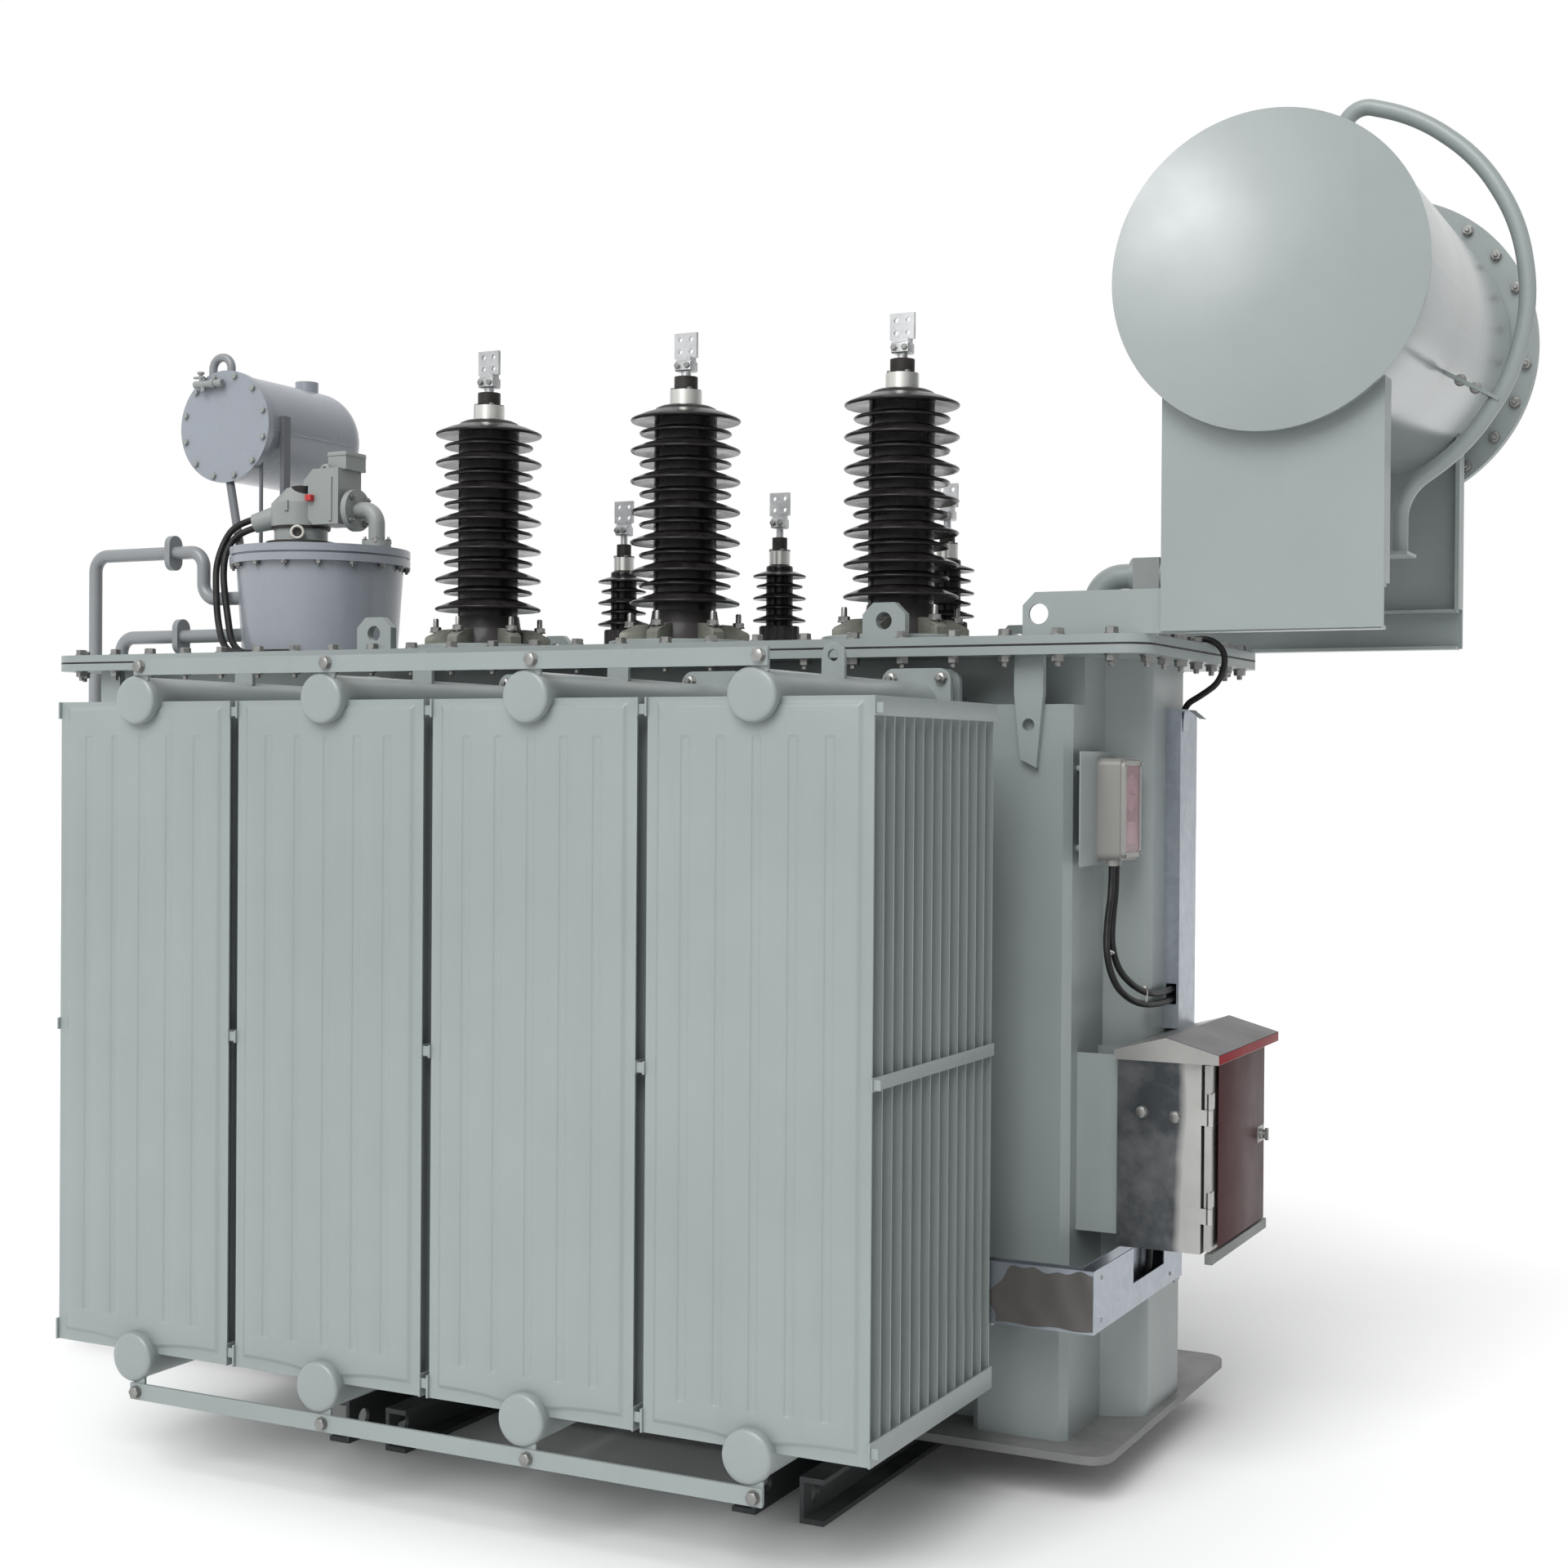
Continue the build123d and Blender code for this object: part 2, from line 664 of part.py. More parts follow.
def tank():
    """The tank wall, its ribs, its rim flange, the gasket and the cover."""
    body = extrude(tank_outline(), FLANGE_TOP - BASE_TOP, dir=(0, 0, 1))
    edges = [e for e in body.edges().filter_by(Axis.Z) if e.center().X > TANK_RIGHT + BULGE_DEPTH / 2]
    body = fillet(edges, BULGE_FILLET)

    spans = [(TANK_LEFT, TANK_LEFT + END_RIB_WIDTH), (TANK_RIGHT - END_RIB_WIDTH, TANK_RIGHT)]
    for number in range(RADIATORS):
        middle = HEADER_XS[number] - RADIATOR_PITCH / 2
        spans.append((middle - RIB_WIDTH / 2, middle + RIB_WIDTH / 2))
    ribs = [rib(x0, x1) for x0, x1 in spans]
    save("tank_ribs", ribs + [to_back(item) for item in ribs])

    size = (FLANGE_LEFT, FLANGE_RIGHT, -FLANGE_HALF_WIDTH, FLANGE_HALF_WIDTH)
    save("tank_body", body + plate_z(*size, FLANGE_BOTTOM, FLANGE_TOP, FLANGE_CORNER))
    gasket = plate_z(*size, FLANGE_TOP, COVER_BOTTOM, FLANGE_CORNER)
    inside = (FLANGE_LEFT + GASKET_WIDTH, FLANGE_RIGHT - GASKET_WIDTH,
              -FLANGE_HALF_WIDTH + GASKET_WIDTH, FLANGE_HALF_WIDTH - GASKET_WIDTH)
    gasket -= plate_z(*inside, FLANGE_TOP - 1, COVER_BOTTOM + 1, FLANGE_CORNER - GASKET_WIDTH / 2)
    save("cover_gasket", gasket)
    save("cover_plate", plate_z(*size, COVER_BOTTOM, COVER_TOP, FLANGE_CORNER))


def lifting_lug(x):
    """A lug with an eye on the edge of the cover."""
    top = COVER_TOP + LUG_HEIGHT
    corner = LUG_WIDTH / 4
    half = LUG_WIDTH / 2
    outline = [(x - half, COVER_TOP), (x - half, top - corner), (x - half + corner, top),
               (x + half - corner, top), (x + half, top - corner), (x + half, COVER_TOP)]
    lug = plate_y(outline, -LUG_Y, -LUG_Y + LUG_THICK)
    return lug - rod_y(x, -LUG_Y - 1, -LUG_Y + LUG_THICK + 1, COVER_TOP + LUG_HEIGHT / 2, LUG_HOLE)


def lifting_hook(x):
    """A tapered hook plate hanging under the rim flange, off the corner of the tank."""
    z0, z1 = FLANGE_BOTTOM - HOOK_DROP, FLANGE_BOTTOM
    outline = [(x - HOOK_TOP_WIDTH / 2, z1), (x + HOOK_TOP_WIDTH / 2, z1),
               (x + HOOK_TOP_WIDTH / 2, z1 - HOOK_DROP / 3), (x + HOOK_BOTTOM_WIDTH / 2, z0),
               (x - HOOK_BOTTOM_WIDTH / 2, z0 + HOOK_BOTTOM_WIDTH / 2),
               (x - HOOK_TOP_WIDTH / 2, z1 - HOOK_DROP / 3)]
    y0 = -RIB_FACE - HOOK_THICK
    plate = plate_y(outline, y0, y0 + HOOK_THICK)
    return plate - rod_y(x, y0 - 1, y0 + HOOK_THICK + 1, z1 - HOOK_HOLE_DROP, HOOK_HOLE)


def lifting_gear():
    """Lugs on the cover and hooks under the flange, front and rear."""
    lugs = [lifting_lug(x) for x in (LUG_LEFT_X, LUG_RIGHT_X)]
    save("lifting_lugs", lugs + [to_back(item) for item in lugs])
    hooks = [lifting_hook(x) for x in (TANK_LEFT + TANK_RIGHT - HOOK_X, HOOK_X)]
    save("lifting_hooks", hooks + [to_back(item) for item in hooks])


def shed_profile(first, pitch, big, small, big_count, core, rim, foot, head):
    """The half outline of a porcelain: alternating large and small sheds on a round core."""
    points = [(0, foot), (core / 2, foot)]
    for index in range(2 * big_count - 1):
        z = first + pitch * index
        reach = (big if index % 2 == 0 else small) / 2
        drop = (reach - core / 2) * SHED_SLOPE
        points += [(core / 2, z - drop / 2), (reach, z - drop), (reach, z - drop + rim), (core / 2, z + drop * 4 / 5)]
    points += [(core / 2, head - core / 8), (core / 3, head), (0, head)]
    return points


def hv_base(x):
    """The turret flange, the lower cylinder and the ring of cast clamps."""
    base_part = rod_z(x, HV_Y, COVER_TOP, COVER_TOP + HV_FLANGE_THICK, HV_FLANGE_DIA)
    base_part += rod_z(x, HV_Y, COVER_TOP, HV_FOOT, HV_BASE_DIA)
    for index in range(HV_CLAMPS):
        low = COVER_TOP + HV_FLANGE_THICK - 1
        arm = block(HV_CLAMP_END - HV_CLAMP_LENGTH, HV_CLAMP_END, -HV_CLAMP_WIDTH / 2, HV_CLAMP_WIDTH / 2,
                    low, low + HV_CLAMP_HEIGHT)
        outer_edge = arm.edges().filter_by(Axis.Y).sort_by(Axis.Z)[-2:].sort_by(Axis.X)[-1]
        slope = chamfer(outer_edge, HV_CLAMP_HEIGHT / 2)
        base_part += Pos(x, HV_Y, 0) * Rot(0, 0, 360 / HV_CLAMPS * (index + 1 / 2)) * slope
    return base_part


def terminal(x, y, z_low, stud_height, pad_height, stud, width):
    """A threaded stud with its clamp and a flat pad with four bolt holes."""
    z_pad = z_low + stud_height
    whole = rod_z(x, y, z_low, z_pad + PAD_SEAT, stud)
    half, deep = stud * CLAMP_SHARE, PAD_THICK * 2 * CLAMP_SHARE
    whole += block(x - half, x + half, y - deep, y + deep, z_pad - stud, z_pad + PAD_SEAT / 2)
    pad = block(x - width / 2, x + width / 2, y - PAD_THICK / 2, y + PAD_THICK / 2, z_pad, z_pad + pad_height)
    middle = z_pad + pad_height / 2
    step = PAD_HOLE_PITCH / 2
    for hole_x in (x - step, x + step):
        for hole_z in (middle - step, middle + step):
            pad -= rod_y(hole_x, y - PAD_THICK, y + PAD_THICK, hole_z, PAD_HOLE)
    return whole + pad


def lv_base(x):
    """The low flange and dark foot of a low-voltage bushing."""
    foot = rod_z(x, LV_Y, COVER_TOP, COVER_TOP + LV_FLANGE_THICK, LV_FLANGE_DIA)
    return foot + rod_z(x, LV_Y, COVER_TOP, LV_FOOT, LV_BASE_DIA)


def bushings():
    """Three tall porcelain bushings along the front of the cover and three small ones behind them."""
    tall = shed_profile(HV_FIRST_RIM, HV_SHED_PITCH, HV_BIG_SHED, HV_SMALL_SHED, HV_BIG_SHEDS,
                        HV_BODY_DIA, HV_RIM, HV_FOOT, HV_CAP_BOTTOM)
    low = shed_profile(LV_FIRST_RIM, LV_SHED_PITCH, LV_BIG_SHED, LV_SMALL_SHED, LV_BIG_SHEDS,
                       LV_BODY_DIA, LV_RIM, LV_FOOT, LV_CAP_BOTTOM)
    save("hv_bases", [hv_base(x) for x in HV_XS])
    save("lv_bases", [lv_base(x) for x in LV_XS])
    save("hv_porcelains", [turned(tall, x, HV_Y) for x in HV_XS])
    save("lv_porcelains", [turned(low, x, LV_Y) for x in LV_XS])
    caps, seals, tops = [], [], []
    for x in HV_XS:
        cap_top = HV_CAP_BOTTOM + HV_CAP_HEIGHT
        ring_top = cap_top + HV_RING_HEIGHT
        caps.append(rod_z(x, HV_Y, HV_CAP_BOTTOM, cap_top, HV_CAP_DIA))
        seals.append(rod_z(x, HV_Y, cap_top, ring_top, HV_RING_DIA))
        tops.append(terminal(x, HV_Y, ring_top, HV_STUD_HEIGHT, HV_PAD_HEIGHT, HV_STUD_DIA, HV_PAD_WIDTH))
    for x in LV_XS:
        cap_top = LV_CAP_BOTTOM + LV_CAP_HEIGHT
        ring_top = cap_top + LV_RING_HEIGHT
        caps.append(rod_z(x, LV_Y, LV_CAP_BOTTOM, cap_top, LV_CAP_DIA))
        seals.append(rod_z(x, LV_Y, cap_top, ring_top, LV_RING_DIA))
        tops.append(terminal(x, LV_Y, ring_top, LV_STUD_HEIGHT, LV_PAD_HEIGHT, LV_STUD_DIA, LV_PAD_WIDTH))
    save("bushing_caps", caps)
    save("bushing_seals", seals)
    save("bushing_terminals", tops)


def tap_drum():
    """The conical drum of the tap changer."""
    return turned([(0, COVER_TOP), (OLTC_DRUM_BOTTOM_DIA / 2, COVER_TOP),
                   (OLTC_DRUM_TOP_DIA / 2, LID_BOTTOM), (0, LID_BOTTOM)], OLTC_X, 0)


def outlet_plane():
    """The face at the tip of the head's cable outlet, looking outwards."""
    turn, dip = math.radians(OUTLET_TURN), math.radians(OUTLET_DIP)
    ahead = Vector(math.cos(turn) * math.cos(dip), math.sin(turn) * math.cos(dip), -math.sin(dip))
    root = Vector(HEAD_X, HEAD_Y, NECK_TOP + OUTLET_ABOVE_NECK)
    return Plane(origin=root + ahead * OUTLET_REACH, x_dir=(-math.sin(turn), math.cos(turn), 0), z_dir=ahead)


def cable_outlet():
    """The cast cone on the head's left side that its cables leave by."""
    length = OUTLET_REACH - DOME_DIA / 4
    return outlet_plane() * Pos(0, 0, -length / 2) * Cone(OUTLET_DIA / 2, OUTLET_TIP_DIA / 2, length)


def tap_changer():
    """The drum on the cover with its double-rimmed lid and cast head."""
    save("tap_changer_drum", tap_drum())
    middle = (LID_BOTTOM + LID_TOP) / 2
    low, high = middle - OLTC_GROOVE / 2, middle + OLTC_GROOVE / 2
    lid = rod_z(OLTC_X, 0, LID_BOTTOM, low, OLTC_LID_DIA)
    lid += rod_z(OLTC_X, 0, low, high, OLTC_LID_DIA - 2 * OLTC_GROOVE_DEPTH)
    save("tap_changer_lid", lid + rod_z(OLTC_X, 0, high, LID_TOP, OLTC_LID_DIA))
    foot, neck, dome = HEAD_FOOT_DIA / 2, HEAD_NECK_DIA / 2, DOME_DIA / 2
    skirt_top = NECK_TOP + DOME_SKIRT
    head = turned([(0, LID_TOP), (foot, LID_TOP), (foot, LID_TOP + HEAD_FOOT), (neck, LID_TOP + HEAD_FOOT),
                   (neck, NECK_TOP), (dome, NECK_TOP), (dome, skirt_top),
                   (dome * 5 / 6, skirt_top + DOME_CROWN / 3), (dome / 2, DOME_TOP), (0, DOME_TOP)],
                  HEAD_X, HEAD_Y)
    save("tap_changer_head", head + cable_outlet())


def gearbox():
    """The cast bevel gearbox beside the head, with its upper lid."""
    y0, y1 = HEAD_Y - GEARBOX_HALF_WIDTH, HEAD_Y + GEARBOX_HALF_WIDTH
    case = block(GEARBOX_LEFT, GEARBOX_RIGHT, y0, y1, NECK_TOP, GEARBOX_TOP)
    case = chamfer(case.edges().filter_by(Axis.Y).sort_by(Axis.X)[:2], GEARBOX_CHAMFER)
    case -= rod_z(HEAD_X, HEAD_Y, LID_TOP, DOME_TOP + SEAT, DOME_DIA + 2 * SEAT)
    elbow_z = NECK_TOP + ELBOW_ABOVE_NECK
    hub_dia = (ELBOW_DIA + ELBOW_FLANGE_DIA) / 2
    case += rod_x(GEARBOX_RIGHT, GEARBOX_RIGHT + ELBOW_STUB, HEAD_Y, elbow_z, hub_dia)
    right = GEARBOX_RIGHT + GEARBOX_LID_REACH
    lid = block(right - GEARBOX_LID_WIDTH, right, HEAD_Y - GEARBOX_LID_FRONT, HEAD_Y + GEARBOX_LID_REAR,
                GEARBOX_TOP, GEARBOX_TOP + GEARBOX_LID_HEIGHT)
    save("tap_changer_gearbox", case + lid)


def elbow():
    """The cast elbow from the gearbox side down to the drum lid."""
    face_x = GEARBOX_RIGHT + ELBOW_STUB
    z = NECK_TOP + ELBOW_ABOVE_NECK
    path = [(face_x, HEAD_Y, z), (ELBOW_X, HEAD_Y, z), (ELBOW_X, HEAD_Y, LID_TOP)]
    bend = tube(path, ELBOW_DIA, ELBOW_RADIUS)
    bend += rod_x(face_x, face_x + ELBOW_FLANGE_THICK, HEAD_Y, z, ELBOW_FLANGE_DIA)
    bend += rod_z(ELBOW_X, HEAD_Y, LID_TOP, LID_TOP + ELBOW_FLANGE_THICK, ELBOW_FOOT_DIA)
    save("tap_changer_elbow", bend)


def small_barrel():
    """The space taken by the small conservator's barrel and its flanges."""
    front = SMALL_DRUM_FRONT
    barrel = rod_y(SMALL_DRUM_X, front, SMALL_DRUM_REAR, SMALL_DRUM_Z, SMALL_DRUM_DIA)
    rims = rod_y(SMALL_DRUM_X, front, front + 2 * SMALL_DRUM_FLANGE, SMALL_DRUM_Z, SMALL_DRUM_FLANGE_DIA)
    return barrel + rims


def small_conservator():
    """The small conservator above the tap changer: dished drum, bolted end and filler."""
    end_back = SMALL_DRUM_FRONT + SMALL_DRUM_FLANGE
    front = end_back + SMALL_DRUM_FLANGE
    drum = rod_y(SMALL_DRUM_X, front, SMALL_DRUM_REAR, SMALL_DRUM_Z, SMALL_DRUM_DIA)
    drum = fillet(drum.edges().sort_by(Axis.Y)[-1], SMALL_DRUM_KNUCKLE)
    drum += rod_y(SMALL_DRUM_X, end_back, front, SMALL_DRUM_Z, SMALL_DRUM_FLANGE_DIA)
    crown = SMALL_DRUM_Z + SMALL_DRUM_DIA / 2
    drum += rod_z(SMALL_DRUM_X, FILLER_Y, crown - FILLER_HEIGHT, crown + FILLER_HEIGHT, FILLER_DIA)
    save("small_conservator", drum)
    end = rod_y(SMALL_DRUM_X, SMALL_DRUM_FRONT, end_back, SMALL_DRUM_Z, SMALL_DRUM_FLANGE_DIA)
    save("small_conservator_end", end)


def small_conservator_stays():
    """The post, strut and rod between the drum lid and the small conservator."""
    side = SMALL_DRUM_X + SMALL_DRUM_DIA / 2
    post = block(side, side + POST_THICK, POST_Y, POST_Y + POST_WIDTH, LID_TOP, SMALL_DRUM_Z + POST_CLIP)
    post += block(side - POST_THICK, side + POST_THICK, POST_Y, POST_Y + POST_WIDTH,
                  SMALL_DRUM_Z - 2 * POST_CLIP, SMALL_DRUM_Z - POST_CLIP)
    top = SMALL_DRUM_Z - SMALL_DRUM_DIA / 2 + STRUT_DIA
    foot = (STRUT_FOOT_X, STRUT_FOOT_Y, LID_TOP + STRUT_FOOT / 2)
    strut = rod_between(foot, (STRUT_TOP_X, STRUT_TOP_Y, top), STRUT_DIA)
    strut += rod_z(STRUT_FOOT_X, STRUT_FOOT_Y, LID_TOP, LID_TOP + STRUT_FOOT, STRUT_FOOT_DIA)
    strut -= rod_z(STRUT_FOOT_X, STRUT_FOOT_Y, LID_TOP - STRUT_FOOT_DIA, LID_TOP, 2 * STRUT_FOOT_DIA)
    rod = rod_z(ROD_X, ROD_Y, LID_TOP, SMALL_DRUM_Z, ROD_DIA)
    barrel = small_barrel()
    save("small_conservator_stays", [post - barrel, strut - barrel, rod - barrel])


def vent_loop():
    """The upturned vent pipe over the bolted end of the small conservator."""
    y = SMALL_DRUM_FRONT + VENT_FROM_FRONT
    crown = SMALL_DRUM_Z + SMALL_DRUM_DIA / 2
    x = SMALL_DRUM_X - VENT_SHIFT - VENT_WIDTH / 2
    low = crown - VENT_DROP
    top = crown + VENT_HEIGHT
    loop = tube([(x, y, low), (x, y, top), (x + VENT_WIDTH, y, top), (x + VENT_WIDTH, y, low)],
                VENT_DIA, VENT_WIDTH / 2 - 1)
    save("vent_loop", loop - small_barrel())


def pipe_flange(x, z):
    """A pair of long oval pipe flanges in a run along X."""
    face = Plane(origin=(x - PIPE_FLANGE_THICK, PIPE_PLANE_Y, z), x_dir=(0, 0, 1), z_dir=(1, 0, 0))
    return extrude(face * SlotOverall(PIPE_FLANGE_HEIGHT, PIPE_FLANGE_WIDTH), 2 * PIPE_FLANGE_THICK)


def oil_pipes():
    """Two oil pipes from the drum, over the edge of the cover and down the left end."""
    y = PIPE_PLANE_Y
    start_x = OLTC_X - math.sqrt((OLTC_DRUM_BOTTOM_DIA / 2) ** 2 - y ** 2) + PIPE_DIA
    start_z, top_z = COVER_TOP + UPPER_PIPE_START, COVER_TOP + UPPER_PIPE_START + UPPER_PIPE_RISE
    upper = tube([(start_x, y, start_z), (UPPER_PIPE_RISE_X, y, start_z), (UPPER_PIPE_RISE_X, y, top_z),
                  (UPPER_PIPE_DOWN_X, y, top_z), (UPPER_PIPE_DOWN_X, y, PIPE_END_Z)], PIPE_DIA, PIPE_BEND)
    upper += pipe_flange(UPPER_PIPE_FLANGE_X, top_z)
    lower_z = COVER_TOP + LOWER_PIPE_START
    lower = tube([(start_x, y, lower_z), (LOWER_PIPE_DOWN_X, y, lower_z), (LOWER_PIPE_DOWN_X, y, PIPE_END_Z)],
                 PIPE_DIA, PIPE_BEND)
    lower += pipe_flange(LOWER_PIPE_FLANGE_X, lower_z)
    foot = PIPE_END_Z - 2 * PIPE_FLANGE_THICK
    upper += rod_z(UPPER_PIPE_DOWN_X, y, foot, PIPE_END_Z, PIPE_FOOT_DIA)
    lower += rod_z(LOWER_PIPE_DOWN_X, y, foot, PIPE_END_Z, PIPE_FOOT_DIA)
    save("oil_pipes", [upper - tap_drum(), lower - tap_drum()])
    top = PIPE_BRACKET_Z + PIPE_BRACKET_THICK
    bracket = block(UPPER_PIPE_DOWN_X - PIPE_DIA, TANK_LEFT, y - PIPE_BRACKET / 2, y + PIPE_BRACKET / 2,
                    PIPE_BRACKET_Z, top)
    for x in (UPPER_PIPE_DOWN_X, LOWER_PIPE_DOWN_X):
        bracket -= rod_z(x, y, PIPE_BRACKET_Z - 1, top + 1, PIPE_DIA + 2 * SEAT)
    save("oil_pipe_bracket", bracket)


def conservator():
    """The main conservator drum, its front disc and the bolted rear end."""
    front = DRUM_FRONT + DISC_THICK
    drum = rod_y(DRUM_X, DRUM_FRONT, front, DRUM_Z, DISC_DIA)
    save("conservator_drum", drum + rod_y(DRUM_X, front, DRUM_REAR, DRUM_Z, DRUM_DIA))
    middle = DRUM_REAR + REAR_FLANGE_THICK
    end = rod_y(DRUM_X, DRUM_REAR, middle - 2, DRUM_Z, REAR_FLANGE_DIA)
    end += rod_y(DRUM_X, middle - 2, middle + 2, DRUM_Z, REAR_FLANGE_DIA - REAR_GROOVE)
    end += rod_y(DRUM_X, middle + 2, middle + REAR_FLANGE_THICK, DRUM_Z, REAR_FLANGE_DIA)
    save("conservator_rear_end", end)


def conservator_leg():
    """The front leg: a folded sheet saddle under the drum."""
    x0, x1 = DRUM_X - LEG_WIDTH / 2, DRUM_X + LEG_WIDTH / 2
    inner = LEG_FRONT + LEG_THICK
    leg = block(x0, x1, LEG_FRONT, inner, COVER_TOP + LEG_CLEAR, DRUM_Z)
    leg += block(x0, x0 + LEG_THICK, inner, inner + LEG_FOLD, BEAM_TOP, DRUM_Z)
    leg += block(x1 - LEG_THICK, x1, inner, inner + LEG_FOLD, BEAM_TOP, DRUM_Z)
    return leg - rod_y(DRUM_X, DRUM_FRONT, DRUM_REAR, DRUM_Z, DRUM_DIA)


def conservator_beam():
    """The front cantilever beam: a channel on the cover with a lifting hole in its raised end."""
    y0 = LEG_FRONT + LEG_THICK
    top = BEAM_TOP
    outline = [(BEAM_LEFT, COVER_TOP), (BEAM_LEFT, top - BEAM_CORNER), (BEAM_LEFT + BEAM_CORNER, top),
               (BEAM_RIGHT, top), (BEAM_RIGHT, COVER_TOP)]
    beam = plate_y(outline, y0, y0 + BEAM_WALL)
    flange_left = BEAM_LEFT + 90
    beam += block(flange_left, BEAM_RIGHT, y0, y0 + BEAM_WIDTH, top - BEAM_WALL, top)
    beam += block(flange_left, BEAM_RIGHT, y0, y0 + BEAM_WIDTH, COVER_TOP, COVER_TOP + BEAM_WALL)
    return beam - rod_y(BEAM_HOLE_X, y0 - 1, y0 + BEAM_WALL + 1, COVER_TOP + BEAM_HEIGHT / 2, BEAM_HOLE_DIA)


def conservator_support():
    """Legs and beams, front and rear."""
    leg = conservator_leg()
    beam = conservator_beam()
    save("conservator_legs", [leg, to_back(leg)])
    save("conservator_beams", [beam, to_back(beam)])


def breather():
    """The breather pipe that rings the drum, with its foot bracket and the strap that holds it."""
    def on_ring(degrees, radius):
        turn = math.radians(degrees)
        return DRUM_X + radius * math.sin(turn), DRUM_Z + radius * math.cos(turn)

    y = BREATHER_Y
    down_x, _ = on_ring(BREATHER_END, BREATHER_RADIUS)
    start_x, top_z = on_ring(BREATHER_START, BREATHER_RADIUS)
    step = (BREATHER_END - BREATHER_START) / BREATHER_STEPS
    points = [(start_x, y, DRUM_Z + DRUM_DIA / 2 - BREATHER_DIA / 2), (start_x, y, top_z)]
    for index in range(1, BREATHER_STEPS + 1):
        x, z = on_ring(BREATHER_START + step * index, BREATHER_RADIUS)
        points.append((x, y, z))
    foot_z = COVER_TOP + BREATHER_FOOT_ABOVE
    points.append((down_x, y, foot_z))
    barrel = rod_y(DRUM_X, DRUM_FRONT, DRUM_REAR, DRUM_Z, DRUM_DIA)
    pipe = tube(points, BREATHER_DIA, easy_bends(points))
    room = tube(points, BREATHER_DIA + 2 * SEAT, easy_bends(points))
    save("breather_pipe", pipe - barrel)
    half = BREATHER_FOOT / 2
    foot = block(down_x - 3 * half / 2, down_x + half / 2, y - half, y + half, foot_z - STRAP_THICK, foot_z)
    strap = block(-STRAP_THICK / 2, STRAP_THICK / 2, -STRAP_WIDTH / 2, STRAP_WIDTH / 2, DRUM_DIA / 2, BREATHER_RADIUS)
    strap = Pos(DRUM_X, y, DRUM_Z) * Rot(0, STRAP_ANGLE, 0) * strap
    strap = (strap - room).solids().sort_by(SortBy.VOLUME)[-1]
    save("breather_brackets", [foot, strap])


def gas_relay():
    """The gas relay in the pipe from the cover to the conservator, with a cable gland under it."""
    bottom = COVER_TOP + RELAY_ABOVE
    z = bottom + RELAY_HEIGHT / 2
    top = bottom + RELAY_HEIGHT
    box_part = block(RELAY_LEFT, RELAY_RIGHT, -RELAY_HALF_WIDTH, RELAY_HALF_WIDTH, bottom, top)
    box_part += rod_z(RELAY_GLAND_X, RELAY_GLAND_Y, bottom - GLAND_LENGTH, bottom, GLAND_DIA)
    collar = RELAY_FLANGE_THICK
    collar_dia = (RELAY_PIPE_DIA + RELAY_FLANGE_DIA) / 2
    low = tube([(RELAY_PIPE_X, 0, COVER_TOP + collar), (RELAY_PIPE_X, 0, z), (RELAY_LEFT - collar, 0, z)],
               RELAY_PIPE_DIA, RELAY_PIPE_BEND)
    low += rod_z(RELAY_PIPE_X, 0, COVER_TOP, COVER_TOP + collar, RELAY_FLANGE_DIA)
    low += rod_x(RELAY_LEFT - collar, RELAY_LEFT, 0, z, collar_dia)
    barrel = rod_y(DRUM_X, DRUM_FRONT, DRUM_REAR, DRUM_Z, DRUM_DIA)
    rise_x = DRUM_X - RELAY_RISE
    high = tube([(RELAY_RIGHT + collar, 0, z), (rise_x, 0, z + RELAY_RISE_CLIMB),
                 (rise_x, 0, DRUM_Z - DRUM_DIA / 2 + RELAY_PIPE_DIA)], RELAY_PIPE_DIA, RELAY_PIPE_BEND)
    high += rod_x(RELAY_RIGHT, RELAY_RIGHT + collar, 0, z, collar_dia)
    save("gas_relay", box_part)
    save("relay_pipes", [low, high - barrel])


def thermometer():
    """The winding thermometer on its stand-off plate."""
    plate = block(GAUGE_PLATE_X, GAUGE_PLATE_X + GAUGE_PLATE_THICK, GAUGE_PLATE_FRONT, GAUGE_PLATE_REAR,
                  GAUGE_PLATE_BOTTOM, GAUGE_PLATE_TOP)
    for z in (GAUGE_PLATE_BOTTOM + GAUGE_STUD_EDGE, GAUGE_PLATE_TOP - GAUGE_STUD_EDGE):
        for y in GAUGE_STUD_YS:
            plate += rod_x(TANK_RIGHT, GAUGE_PLATE_X + GAUGE_PLATE_THICK / 2, y, z, GAUGE_STUD_DIA)
    save("thermometer_plate", plate)
    x0 = GAUGE_PLATE_X + GAUGE_PLATE_THICK
    x1 = x0 + GAUGE_DEPTH
    case = block(x0, x1, GAUGE_FRONT, GAUGE_REAR, GAUGE_BOTTOM, GAUGE_TOP)
    case = fillet(case.edges().filter_by(Axis.X), GAUGE_CORNER)
    for y in GAUGE_GLAND_YS:
        case += rod_z(GAUGE_GLAND_X, y, GAUGE_BOTTOM - GLAND_LENGTH, GAUGE_BOTTOM, GLAND_DIA)
    save("thermometer_case", case)
    window = block(x1, x1 + GAUGE_WINDOW, GAUGE_FRONT + GAUGE_WINDOW_MARGIN, GAUGE_REAR - GAUGE_WINDOW_MARGIN,
                   GAUGE_BOTTOM + GAUGE_WINDOW_MARGIN, GAUGE_TOP - GAUGE_WINDOW_MARGIN)
    save("thermometer_window", fillet(window.edges().filter_by(Axis.X), GAUGE_CORNER * 2 / 3))


